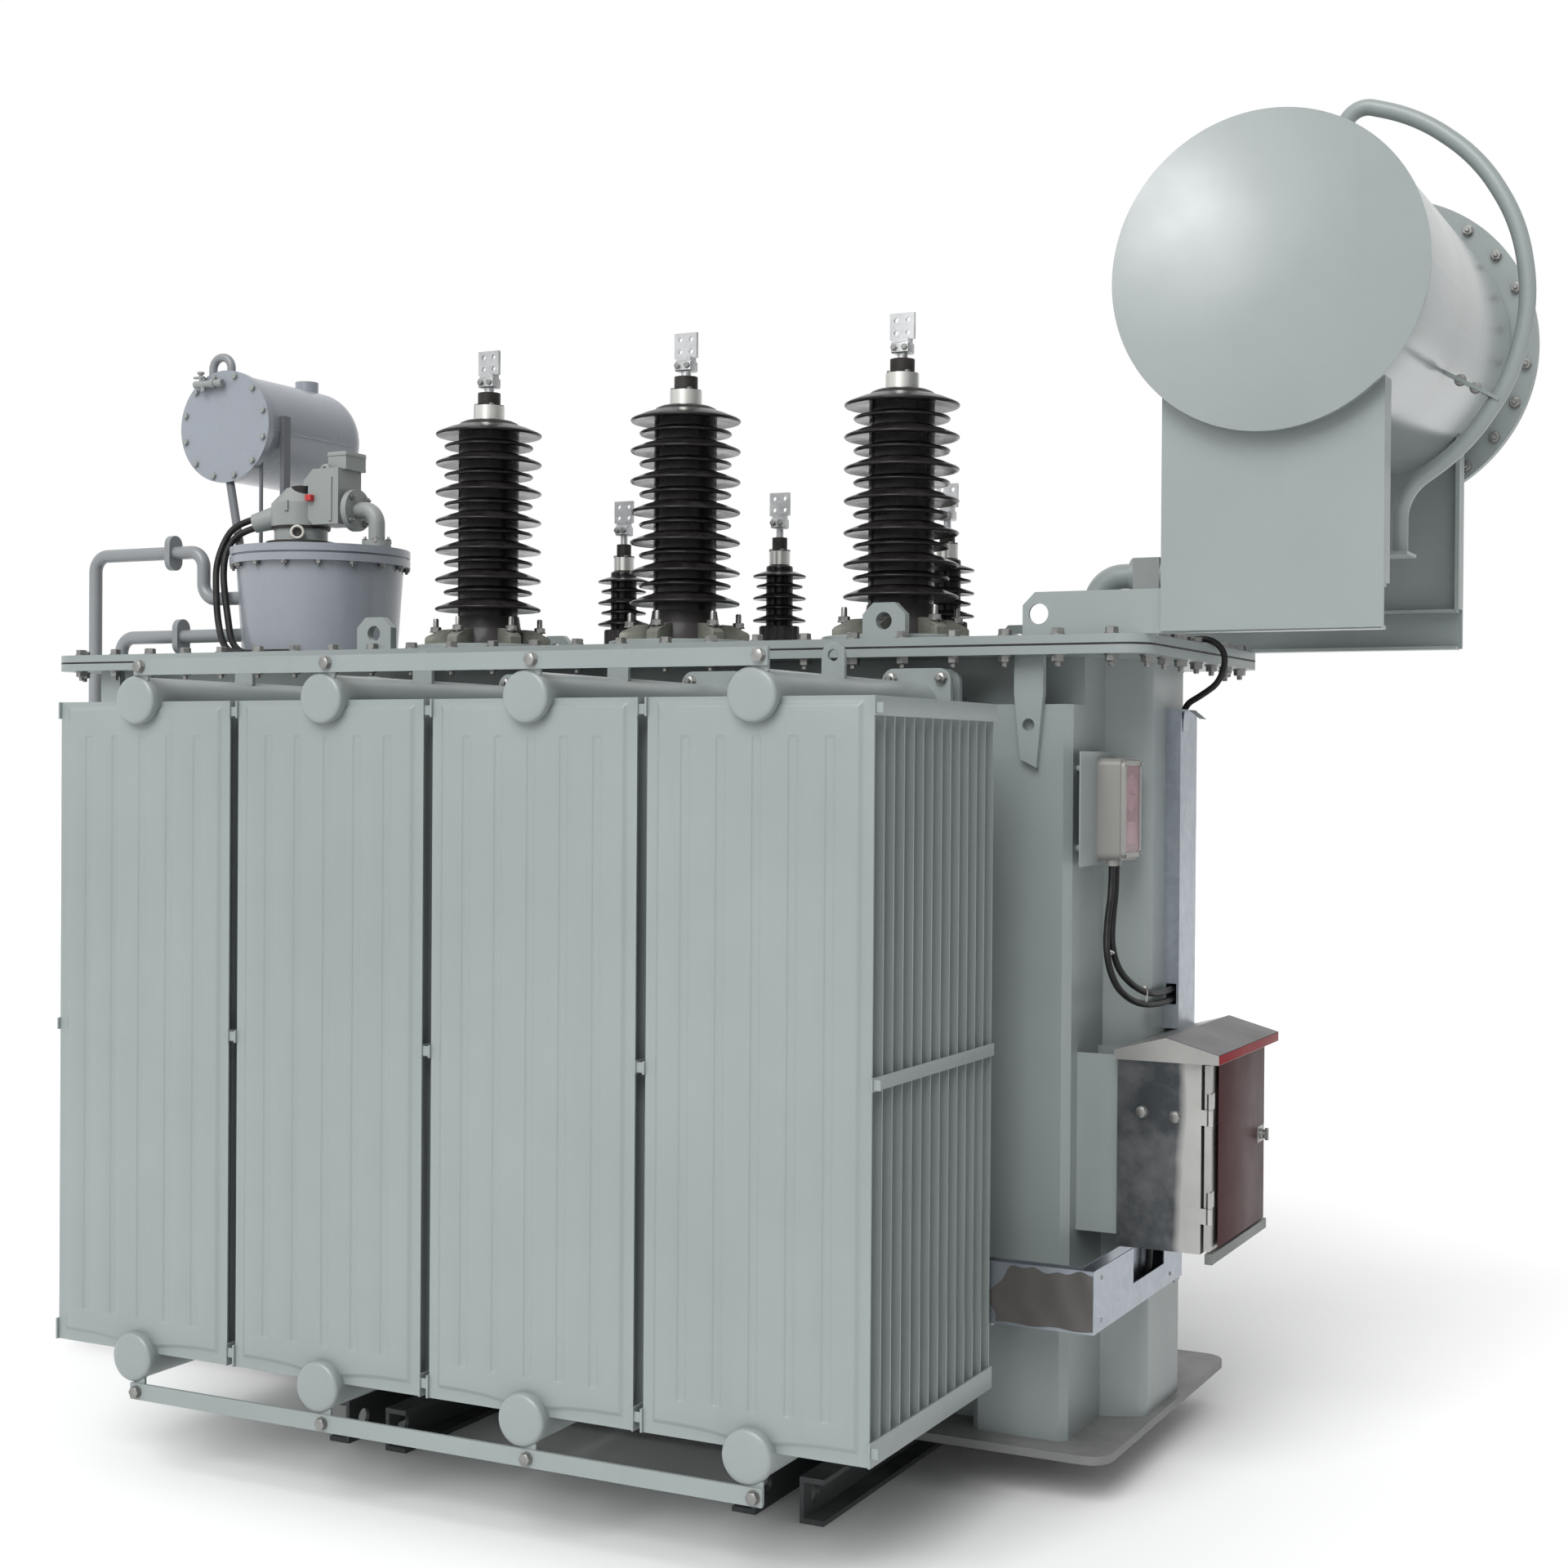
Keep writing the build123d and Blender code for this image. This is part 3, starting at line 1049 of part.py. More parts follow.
def upright_tray():
    """The closed cable duct up the face of the bulge, open at its top."""
    x0, x1 = BULGE_FACE, BULGE_FACE + TRAY_DEPTH
    y0, y1 = UPRIGHT_FRONT, UPRIGHT_FRONT + UPRIGHT_WIDTH
    z0 = CABINET_TOP + ROOF_EDGE + ROOF_RISE * TRAY_DEPTH / (ROOF_WIDTH / 2) + SEAT
    duct = block(x0, x1, y0, y1, z0, UPRIGHT_TOP)
    wall = TRAY_WALL
    duct -= block(x0 + wall, x1 - wall, y0 + wall, y1 - wall, z0 + wall, UPRIGHT_TOP + 1)
    duct -= block(x0 + 2 * wall, x1 - 2 * wall, y0 - 1, y0 + wall + 1, DUCT_SLOT_LOW, DUCT_SLOT_HIGH)
    save("upright_tray", duct)


def low_tray():
    """The cable tray along the front of the tank and round its right end, open at the top."""
    z0, z1 = LOW_TRAY_BOTTOM, LOW_TRAY_BOTTOM + LOW_TRAY_HEIGHT
    x_in = LOW_TRAY_RIGHT - TRAY_DEPTH
    y_in = LOW_TRAY_FRONT + TRAY_DEPTH
    tray = block(LOW_TRAY_LEFT, LOW_TRAY_RIGHT, LOW_TRAY_FRONT, y_in, z0, z1)
    tray += block(x_in, LOW_TRAY_RIGHT, LOW_TRAY_FRONT, LOW_TRAY_REAR, z0, z1)
    tray -= block(LOW_TRAY_LEFT + TRAY_WALL, LOW_TRAY_RIGHT - TRAY_WALL, LOW_TRAY_FRONT + TRAY_WALL,
                  y_in - TRAY_WALL, z0 + TRAY_WALL, z1 + 1)
    tray -= block(x_in + TRAY_WALL, LOW_TRAY_RIGHT - TRAY_WALL, LOW_TRAY_FRONT + TRAY_WALL,
                  LOW_TRAY_REAR - TRAY_WALL, z0 + TRAY_WALL, z1 + 1)
    tray -= block(LOW_TRAY_RIGHT - 2 * TRAY_WALL, LOW_TRAY_RIGHT + 1, TRAY_CUT_FRONT, TRAY_CUT_REAR,
                  TRAY_CUT_Z, z1 + 1)
    save("low_tray", tray)
    arms = []
    for x in (HEADER_XS[3] - RADIATOR_PITCH / 2, TANK_RIGHT - END_RIB_WIDTH / 2):
        low = z0 - TRAY_BRACKET_THICK
        half = TRAY_BRACKET_WIDTH / 2
        arms.append(block(x - half, x + half, LOW_TRAY_FRONT, -RIB_FACE, low, z0))
    side = z0 - TRAY_BRACKET_THICK
    arms.append(block(BULGE_FACE, LOW_TRAY_RIGHT, -TRAY_BRACKET_WIDTH, 0, side, z0))
    save("low_tray_arms", arms)


def cabinet():
    """The control cabinet: shell, gabled roof, door, lock, hinges and the brackets behind it."""
    x0, x1 = CABINET_LEFT, CABINET_LEFT + CABINET_DEPTH
    y0, y1 = CABINET_FRONT, CABINET_REAR
    wall, frame = CABINET_WALL, CABINET_FRAME
    shell = block(x0, x1, y0, y1, CABINET_BOTTOM, CABINET_TOP)
    shell -= block(x0 + wall, x1 - wall, y0 + wall, y1 - wall, CABINET_BOTTOM + wall, CABINET_TOP - wall)
    shell -= block(x1 - 2 * wall, x1 + 1, y0 + frame, y1 - frame, CABINET_BOTTOM + frame, CABINET_TOP - frame)
    pin_x = x1 + DOOR_GAP + DOOR_THICK
    hinges = (CABINET_BOTTOM + HINGE_FROM_END, CABINET_TOP - HINGE_FROM_END - 2 * HINGE_LENGTH - HINGE_GAP)
    for z in hinges:
        leaf = block(x1 - HINGE_LEAF_WIDTH, pin_x, y0 - HINGE_LEAF, y0, z, z + HINGE_LENGTH)
        shell += leaf + rod_z(pin_x, y0, z, z + HINGE_LENGTH, HINGE_DIA)
    shell += rod_z(CABINET_GLAND_X, CABINET_GLAND_Y, CABINET_BOTTOM - GLAND_LENGTH, CABINET_BOTTOM, GLAND_DIA)
    save("cabinet_shell", shell)

    eave = CABINET_TOP + ROOF_EDGE
    outline = [(x0, CABINET_TOP), (x0, eave), (x0 + ROOF_WIDTH / 2, eave + ROOF_RISE), (x0 + ROOF_WIDTH, eave),
               (x0 + ROOF_WIDTH, CABINET_TOP)]
    save("cabinet_roof", plate_y(outline, y0 - ROOF_OVERHANG, y1 + ROOF_OVERHANG))

    door_x = x1 + DOOR_GAP
    door = block(door_x, door_x + DOOR_THICK, y0 + DOOR_GAP, y1 - DOOR_GAP,
                 CABINET_BOTTOM + DOOR_GAP, CABINET_TOP - DOOR_GAP)
    for z in hinges:
        low = z + HINGE_LENGTH + HINGE_GAP
        door -= rod_z(pin_x, y0, z - HINGE_GAP, low, HINGE_DIA + 2 * HINGE_GAP)
        door += rod_z(pin_x, y0, low, low + HINGE_LENGTH, HINGE_DIA)
        top = low + HINGE_LENGTH
        door += block(pin_x - HINGE_DIA / 2, pin_x + HINGE_LEAF, y0, y0 + HINGE_LEAF_WIDTH, low, top)
    save("cabinet_door", door)
    lock_y = y1 - LOCK_FROM_EDGE
    lock_z = (CABINET_BOTTOM + CABINET_TOP) / 2
    face_x = door_x + DOOR_THICK
    save("cabinet_lock", rod_x(face_x, face_x + LOCK_PROUD, lock_y, lock_z, LOCK_DIA))

    brackets = []
    for front in (y0 + BRACKET_INSET, -BULGE_HALF_BASE - 3 * BRACKET_INSET):
        brackets.append(block(TANK_RIGHT, x0, front, front + BRACKET_WALL, CABINET_BOTTOM + BRACKET_RAISE,
                              CABINET_TOP + BRACKET_WALL))
    save("cabinet_brackets", brackets)


def cable(name, points, dia):
    """A cable as a round bar along its route; its bends and length are printed."""
    bends = easy_bends(points)
    bar = tube(points, dia, bends)
    length = FilletPolyline(*points, radius=bends).length
    print(name, "length", round(length), "bends", [round(b) for b in bends], "fill",
          round(bar.volume / (length * math.pi * dia ** 2 / 4), 3))
    save(name, bar)


def relay_cable():
    """The cable from the gas relay, over the cover's edge and into the top of the upright duct."""
    start = COVER_TOP + RELAY_ABOVE - GLAND_LENGTH
    cable("cable_relay", [
        (RELAY_GLAND_X, RELAY_GLAND_Y, start), (1240, 18, 2068), (1262, 22, 2030), (1310, 32, 2016),
        (1376, 44, 2022), (1430, 52, 1980), (1418, 54, 1914), (1360, 52, 1884), (1293, 50, 1852),
        (1291, 50, 1785),
    ], CABLE_DIA)


def thermometer_leads():
    """Two leads that sag from the thermometer and turn into the slot of the upright duct."""
    x, start = GAUGE_GLAND_X, GAUGE_BOTTOM - GLAND_LENGTH
    cable("cable_thermometer_1", [
        (x, GAUGE_GLAND_YS[0], start), (1240, -325, 1406), (1247, -378, 1340), (1256, -412, 1266),
        (1270, -392, 1196), (1284, -325, 1156), (1291, -238, 1136), (1293, -148, 1129), (1294, -60, 1128),
        (1294, 12, 1130),
    ], CABLE_DIA)
    cable("cable_thermometer_2", [
        (x, GAUGE_GLAND_YS[1], start), (1240, -292, 1412), (1247, -336, 1352), (1255, -370, 1285),
        (1268, -356, 1226), (1283, -296, 1186), (1291, -216, 1162), (1293, -134, 1153), (1294, -58, 1153),
        (1294, 14, 1155),
    ], CABLE_DIA)


def tap_changer_cables():
    """Two cables from the head's outlet, over the lid's edge and down to the cover in front of the drum."""
    face = outlet_plane()
    upper, lower = (
        [tuple(face.from_local_coords((0, offset, reach))) for reach in (0, OUTLET_RUN)]
        for offset in (OUTLET_CABLE_PITCH / 2, -OUTLET_CABLE_PITCH / 2)
    )
    rest = COVER_TOP + THICK_CABLE_DIA / 2 + SEAT
    cable("cable_tap_changer_1", upper + [
        (-1636, -122, 2364), (-1642, -146, 2290), (-1628, -168, 2212), (-1600, -188, 2134),
        (-1560, -208, 2062), (-1500, -238, 2024), (-1422, -270, rest), (-1334, -279, rest), (-1250, -264, rest),
    ], THICK_CABLE_DIA)
    cable("cable_tap_changer_2", lower + [
        (-1616, -128, 2332), (-1616, -146, 2264), (-1598, -160, 2194), (-1570, -172, 2122),
        (-1530, -190, 2058), (-1474, -218, 2022), (-1400, -243, rest), (-1318, -251, rest), (-1240, -236, rest),
    ], THICK_CABLE_DIA)


def cabinet_cable():
    """The cable that rises out of the low tray into the cabinet's floor."""
    x = CABINET_GLAND_X
    cable("cable_cabinet", [
        (x, -390, 455), (x - 2, -326, 458), (x, -262, 456), (x, -212, 470), (x, CABINET_GLAND_Y, 517),
        (x, CABINET_GLAND_Y, CABINET_BOTTOM - GLAND_LENGTH),
    ], CABLE_DIA)


def main():
    """Build every sub-part."""
    os.makedirs("parts", exist_ok=True)
    radiators()
    tie_bars()
    valves()
    base()
    tank()
    lifting_gear()
    bushings()
    tap_changer()
    gearbox()
    elbow()
    small_conservator()
    small_conservator_stays()
    vent_loop()
    oil_pipes()
    conservator()
    conservator_support()
    breather()
    gas_relay()
    thermometer()
    upright_tray()
    low_tray()
    cabinet()
    relay_cable()
    thermometer_leads()
    tap_changer_cables()
    cabinet_cable()


main()
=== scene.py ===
"""Looks of an oil-filled power transformer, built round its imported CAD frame. Metres, Z up."""
import logging
import math
from dataclasses import dataclass
from enum import Enum
from typing import Iterable, Sequence

import bmesh
import bpy
import numpy as np
from mathutils import Matrix, Vector


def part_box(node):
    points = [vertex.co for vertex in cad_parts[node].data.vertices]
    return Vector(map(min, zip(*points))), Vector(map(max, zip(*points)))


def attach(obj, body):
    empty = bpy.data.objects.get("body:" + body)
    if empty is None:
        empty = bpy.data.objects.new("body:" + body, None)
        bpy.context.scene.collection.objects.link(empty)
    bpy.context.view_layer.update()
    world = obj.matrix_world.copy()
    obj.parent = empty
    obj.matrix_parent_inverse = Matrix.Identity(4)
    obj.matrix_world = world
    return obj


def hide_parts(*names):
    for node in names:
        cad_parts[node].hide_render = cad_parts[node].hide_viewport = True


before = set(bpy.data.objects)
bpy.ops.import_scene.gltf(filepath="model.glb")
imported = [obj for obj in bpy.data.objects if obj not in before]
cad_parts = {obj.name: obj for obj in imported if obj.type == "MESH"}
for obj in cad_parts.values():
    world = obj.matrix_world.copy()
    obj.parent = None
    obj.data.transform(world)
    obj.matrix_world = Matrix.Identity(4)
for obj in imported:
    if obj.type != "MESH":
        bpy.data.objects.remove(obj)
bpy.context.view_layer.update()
LOG = logging.getLogger("transformer")
Array = np.ndarray
Colour = tuple[float, float, float]
Point = Sequence[float]
Profile = Sequence[tuple[float, float]]
Socket = bpy.types.NodeSocket
MM = 0.001
TAU = 2 * math.pi
# The level of the cover plate's top, which the fittings stand on.
COVER_TOP = 2.005
# How far a bolt is turned for each radian of its circle, so that no two heads look alike.
TWIST = 1.7
# Places across a bend in pressed sheet, where columns and rows lie close together.
BENDS = np.array([-7, -4, -1.5, 1.5, 4, 7]) * MM


# Shapes worked out on grids


@dataclass
class Shape:
    """Points and faces of one surface before it becomes a mesh."""

    points: Array
    quads: Array

    def moved(self, place: Point) -> "Shape":
        """The same shape shifted to a place."""
        return Shape(self.points + np.asarray(place, float), self.quads)

    def turned(self, matrix: Array) -> "Shape":
        """The same shape turned by a 3 by 3 matrix."""
        return Shape(self.points @ np.asarray(matrix, float).T, self.quads)

    def mirrored_y(self) -> "Shape":
        """The same shape on the other side of the machine, with its faces turned right side out."""
        return Shape(self.points * [1, -1, 1], self.quads[:, ::-1])


def joined(shapes: Iterable[Shape]) -> Shape:
    """Several shapes as one.

    Args:
        shapes: the shapes to put together.

    Returns:
        One shape whose faces keep their order.
    """
    points, quads, start = [], [], 0
    for shape in shapes:
        points.append(shape.points)
        quads.append(shape.quads + start)
        start += len(shape.points)
    return Shape(np.concatenate(points), np.concatenate(quads))


def grid(points: Array, close_rows: bool = False, close_columns: bool = False) -> Shape:
    """Quads over a grid of points of shape (rows, columns, 3).

    Args:
        points: the grid, each point a function of its row and its column.
        close_rows: joins the last row to the first.
        close_columns: joins the last column to the first.

    Returns:
        The surface over the grid.
    """
    rows, columns = points.shape[:2]
    index = np.arange(rows * columns).reshape(rows, columns)
    if close_rows:
        index = np.vstack([index, index[:1]])
    if close_columns:
        index = np.hstack([index, index[:, :1]])
    quads = np.stack([index[:-1, :-1], index[1:, :-1], index[1:, 1:], index[:-1, 1:]], -1)
    return Shape(points.reshape(-1, 3).astype(float), quads.reshape(-1, 4))


def layers(rings: Sequence[tuple[Array, float]], column: int) -> Array:
    """Flat outlines at their levels, as a grid with one row for each outline.

    Args:
        rings: outline and level pairs, each outline (n, 2).
        column: which coordinate holds the level: 0, 1 or 2.

    Returns:
        (rows, n, 3) points.
    """
    return np.stack([np.insert(ring, column, level, axis=1) for ring, level in rings])


def sheet(front: Array, back: Array) -> Shape:
    """A thin sheet between two grids of points of the same shape, closed round its border.

    Args:
        front: the points of its front.
        back: the points of its back.

    Returns:
        The closed sheet.
    """
    rim = [np.stack([front[0], back[0]]), np.stack([back[-1], front[-1]]),
           np.stack([back[:, 0], front[:, 0]]), np.stack([front[:, -1], back[:, -1]])]
    return joined([grid(front), grid(back), *map(grid, rim)])


class Axis(Enum):
    """The way a turned piece points, as the matrix that takes Z to it."""

    X = ((0, 0, 1), (0, 1, 0), (-1, 0, 0))
    Y = ((1, 0, 0), (0, 0, 1), (0, -1, 0))
    Z = ((1, 0, 0), (0, 1, 0), (0, 0, 1))
    DOWN = ((1, 0, 0), (0, -1, 0), (0, 0, -1))
    TOWARDS_FRONT = ((1, 0, 0), (0, 0, -1), (0, 1, 0))

    @property
    def matrix(self) -> Array:
        """The turn as an array."""
        return np.array(self.value, float)


def rod(radius: float, low: float, high: float) -> Profile:
    """The profile of a plain round rod between two heights."""
    return [(0, low), (radius, low), (radius, high), (0, high)]


def lathe(profile: Profile, place: Point = (0, 0, 0), axis: Axis = Axis.Z, segments: int = 48) -> Shape:
    """A profile of (radius, height) turned about an axis: x = r cos a, y = r sin a, z = h.

    Args:
        profile: radius and height pairs in metres, from one end to the other.
        place: where height 0 of the axis stands.
        axis: the way the height points.
        segments: how many sides the circle has.

    Returns:
        The turned surface.
    """
    outline = np.asarray(profile, float)
    angle = np.arange(segments) * TAU / segments
    radius, height = outline[:, :1], outline[:, 1:]
    points = np.stack([radius * np.cos(angle), radius * np.sin(angle), height + 0 * angle], -1)
    return grid(points, close_columns=True).turned(axis.matrix).moved(place)


def torus(radius: float, height: float, thick: float, tall: float, steps: int, segments: int) -> Shape:
    """A closed ring about Z, whose section is an ellipse: (R + a cos t, h + b sin t).

    Args:
        radius: R, the radius of the section's middle.
        height: h, the height of the section's middle.
        thick: a, half the section's width.
        tall: b, half the section's height.
        steps: sides of the section.
        segments: sides of the ring.

    Returns:
        The ring.
    """
    angle = np.arange(steps) * TAU / steps
    section = np.stack([radius + thick * np.cos(angle), height + tall * np.sin(angle)], -1)
    return grid(lathe(section, segments=segments).points.reshape(steps, segments, 3), True, True)


def rounded_rectangle(width: float, height: float, radius: float, steps: int) -> Array:
    """A closed outline with round corners: each corner is an arc round its own centre.

    Args:
        width: the outline's width.
        height: the outline's height.
        radius: the corners' radius.
        steps: parts of each arc.

    Returns:
        (n, 2) points, corner after corner.
    """
    angle = np.linspace(0, math.pi / 2, steps + 1)
    corners = []
    for quarter, (right, upper) in enumerate(((1, 1), (-1, 1), (-1, -1), (1, -1))):
        x, y = right * (width / 2 - radius), upper * (height / 2 - radius)
        turn = angle + quarter * math.pi / 2
        corners.append(np.stack([x + radius * np.cos(turn), y + radius * np.sin(turn)], -1))
    return np.concatenate(corners)


def bar(low: Point, high: Point, edge: float = 0.0015, axis: Axis = Axis.Z) -> Shape:
    """A bar between two corners with all its edges eased, as a rounded section carried along an axis.

    Args:
        low: the lowest corner.
        high: the highest corner.
        edge: the size of the eased edge.
        axis: the way the section is carried.

    Returns:
        The closed bar.
    """
    low, high = np.asarray(low, float), np.asarray(high, float)
    local = np.abs(axis.matrix.T @ (high - low))
    edge = min(edge, 0.45 * local.min())
    full = rounded_rectangle(local[0], local[1], edge, 2)
    small = rounded_rectangle(local[0] - 2 * edge, local[1] - 2 * edge, edge * 0.3, 2)
    half = local[2] / 2
    rings = [(small * 0, -half), (small, -half), (full, -half + edge), (full, half - edge), (small, half),
             (small * 0, half)]
    return grid(layers(rings, 2), close_columns=True).turned(axis.matrix).moved((low + high) / 2)


def pipe(path: Array, radius: float, sides: int) -> Shape:
    """A round section carried along a path, turned into the path's normal plane, its ends closed in a point.

    Args:
        path: (n, 3) points of the centre line.
        radius: the outer radius.
        sides: sides of the round section.

    Returns:
        The pipe's surface.
    """
    ahead = np.gradient(path, axis=0)
    ahead /= np.linalg.norm(ahead, axis=1, keepdims=True)
    side = np.zeros_like(ahead)
    seed = np.eye(3)[np.argmin(np.abs(ahead[0]))]
    side[0] = np.cross(ahead[0], seed)
    for index in range(1, len(path)):
        side[index] = side[index - 1] - ahead[index] * (side[index - 1] @ ahead[index])
    side /= np.linalg.norm(side, axis=1, keepdims=True)
    up = np.cross(ahead, side)
    angle = np.arange(sides) * TAU / sides
    ring = side[:, None] * np.cos(angle)[:, None] + up[:, None] * np.sin(angle)[:, None]
    start, end = path[:1, None] + 0 * ring[:1], path[-1:, None] + 0 * ring[-1:]
    return grid(np.concatenate([start, path[:, None] + radius * ring, end]), close_columns=True)


def holed_plate(outer: Array, inner: Array, thick: float, edge: float = 0.001) -> Shape:
    """A flat plate with one hole, as rings of the same count that close on themselves, lying in X-Z.

    Args:
        outer: (n, 2) outline in X and Z.
        inner: (n, 2) outline of the hole.
        thick: the plate's thickness along Y.
        edge: the eased edge.

    Returns:
        The closed plate.
    """
    centre = inner.mean(0)
    shy = outer - edge * (outer - centre) / np.linalg.norm(outer - centre, axis=1, keepdims=True)
    wide = inner + edge * (inner - centre) / np.linalg.norm(inner - centre, axis=1, keepdims=True)
    rings = [(outer, edge), (shy, 0), (wide, 0), (inner, edge), (inner, thick - edge), (wide, thick),
             (shy, thick), (outer, thick - edge)]
    return grid(layers(rings, 1), close_rows=True, close_columns=True)


def copies(shape: Shape, places: Array, turns: Array | None = None) -> Shape:
    """One shape repeated at many places.

    Args:
        shape: the shape at the origin.
        places: (n, 3) places.
        turns: (n, 3, 3) turns, or None for none.

    Returns:
        All the copies as one shape.
    """
    places = np.asarray(places, float)
    count = len(shape.points)
    if turns is None:
        turns = np.broadcast_to(np.eye(3), (len(places), 3, 3))
    points = np.einsum("nij,pj->npi", turns, shape.points) + places[:, None]
    quads = shape.quads[None] + count * np.arange(len(places))[:, None, None]
    return Shape(points.reshape(-1, 3), quads.reshape(-1, 4))


def hex_head(across: float, height: float) -> Shape:
    """A hexagon head with a chamfered top over a round washer, standing on Z = 0.

    Args:
        across: size across the flats.
        height: height of head and washer.

    Returns:
        The head, on the Z axis.
    """
    r, base = across / 2 / math.cos(math.pi / 6), height * 0.2
    head = [(0, base), (r, base), (r, height * 0.9), (r * 0.84, height), (0, height)]
    return joined([lathe(rod(r * 1.12, 0, base), segments=14), lathe(head, segments=6)])


def nut_and_stud(across: float, height: float) -> Shape:
    """A nut on a washer with the end of its bolt standing out, on Z = 0.

    Args:
        across: size across the flats.
        height: height of nut and washer.

    Returns:
        The nut and stud, on the Z axis.
    """
    r, tip = across * 0.26, height * 1.62
    stud = [(0, height), (r, height), (r, height * 1.5), (across * 0.2, tip), (0, tip)]
    return joined([hex_head(across, height), lathe(stud, segments=8)])


def spin_z(angles: Array) -> Array:
    """Turns about Z, one 3 by 3 matrix for each angle."""
    c, s, o = np.cos(angles), np.sin(angles), np.zeros_like(angles)
    return np.stack([np.stack([c, -s, o], -1), np.stack([s, c, o], -1), np.stack([o, o, o + 1], -1)], 1)


def bolt_ring(bolt: Shape, centre: Point, axis: Axis, radius: float, angles: Array) -> Shape:
    """Bolts on a circle: each stands at (r cos a, r sin a) in the plane across the axis, turned its own way.

    Args:
        bolt: one bolt, standing on Z = 0.
        centre: the circle's middle.
        axis: the way the bolts point.
        radius: the circle's radius.
        angles: one angle for each bolt, in radians.

    Returns:
        All the bolts as one shape.
    """
    flat = np.stack([radius * np.cos(angles), radius * np.sin(angles), 0 * angles], -1)
    return copies(bolt, flat, spin_z(angles * TWIST)).turned(axis.matrix).moved(centre)


def around(count: int, first: float) -> Array:
    """Angles of a whole circle, evenly spaced, from a first one in degrees."""
    return math.radians(first) + np.arange(count) * TAU / count


def eased(share: Array) -> Array:
    """A share held between 0 and 1 and eased at both ends: t t (3 - 2 t)."""
    t = np.clip(share, 0, 1)
    return t * t * (3 - 2 * t)


def middle_x(node: str) -> float:
    """The middle of a CAD node's box along X."""
    low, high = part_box(node)
    return (low.x + high.x) / 2


# Finishes


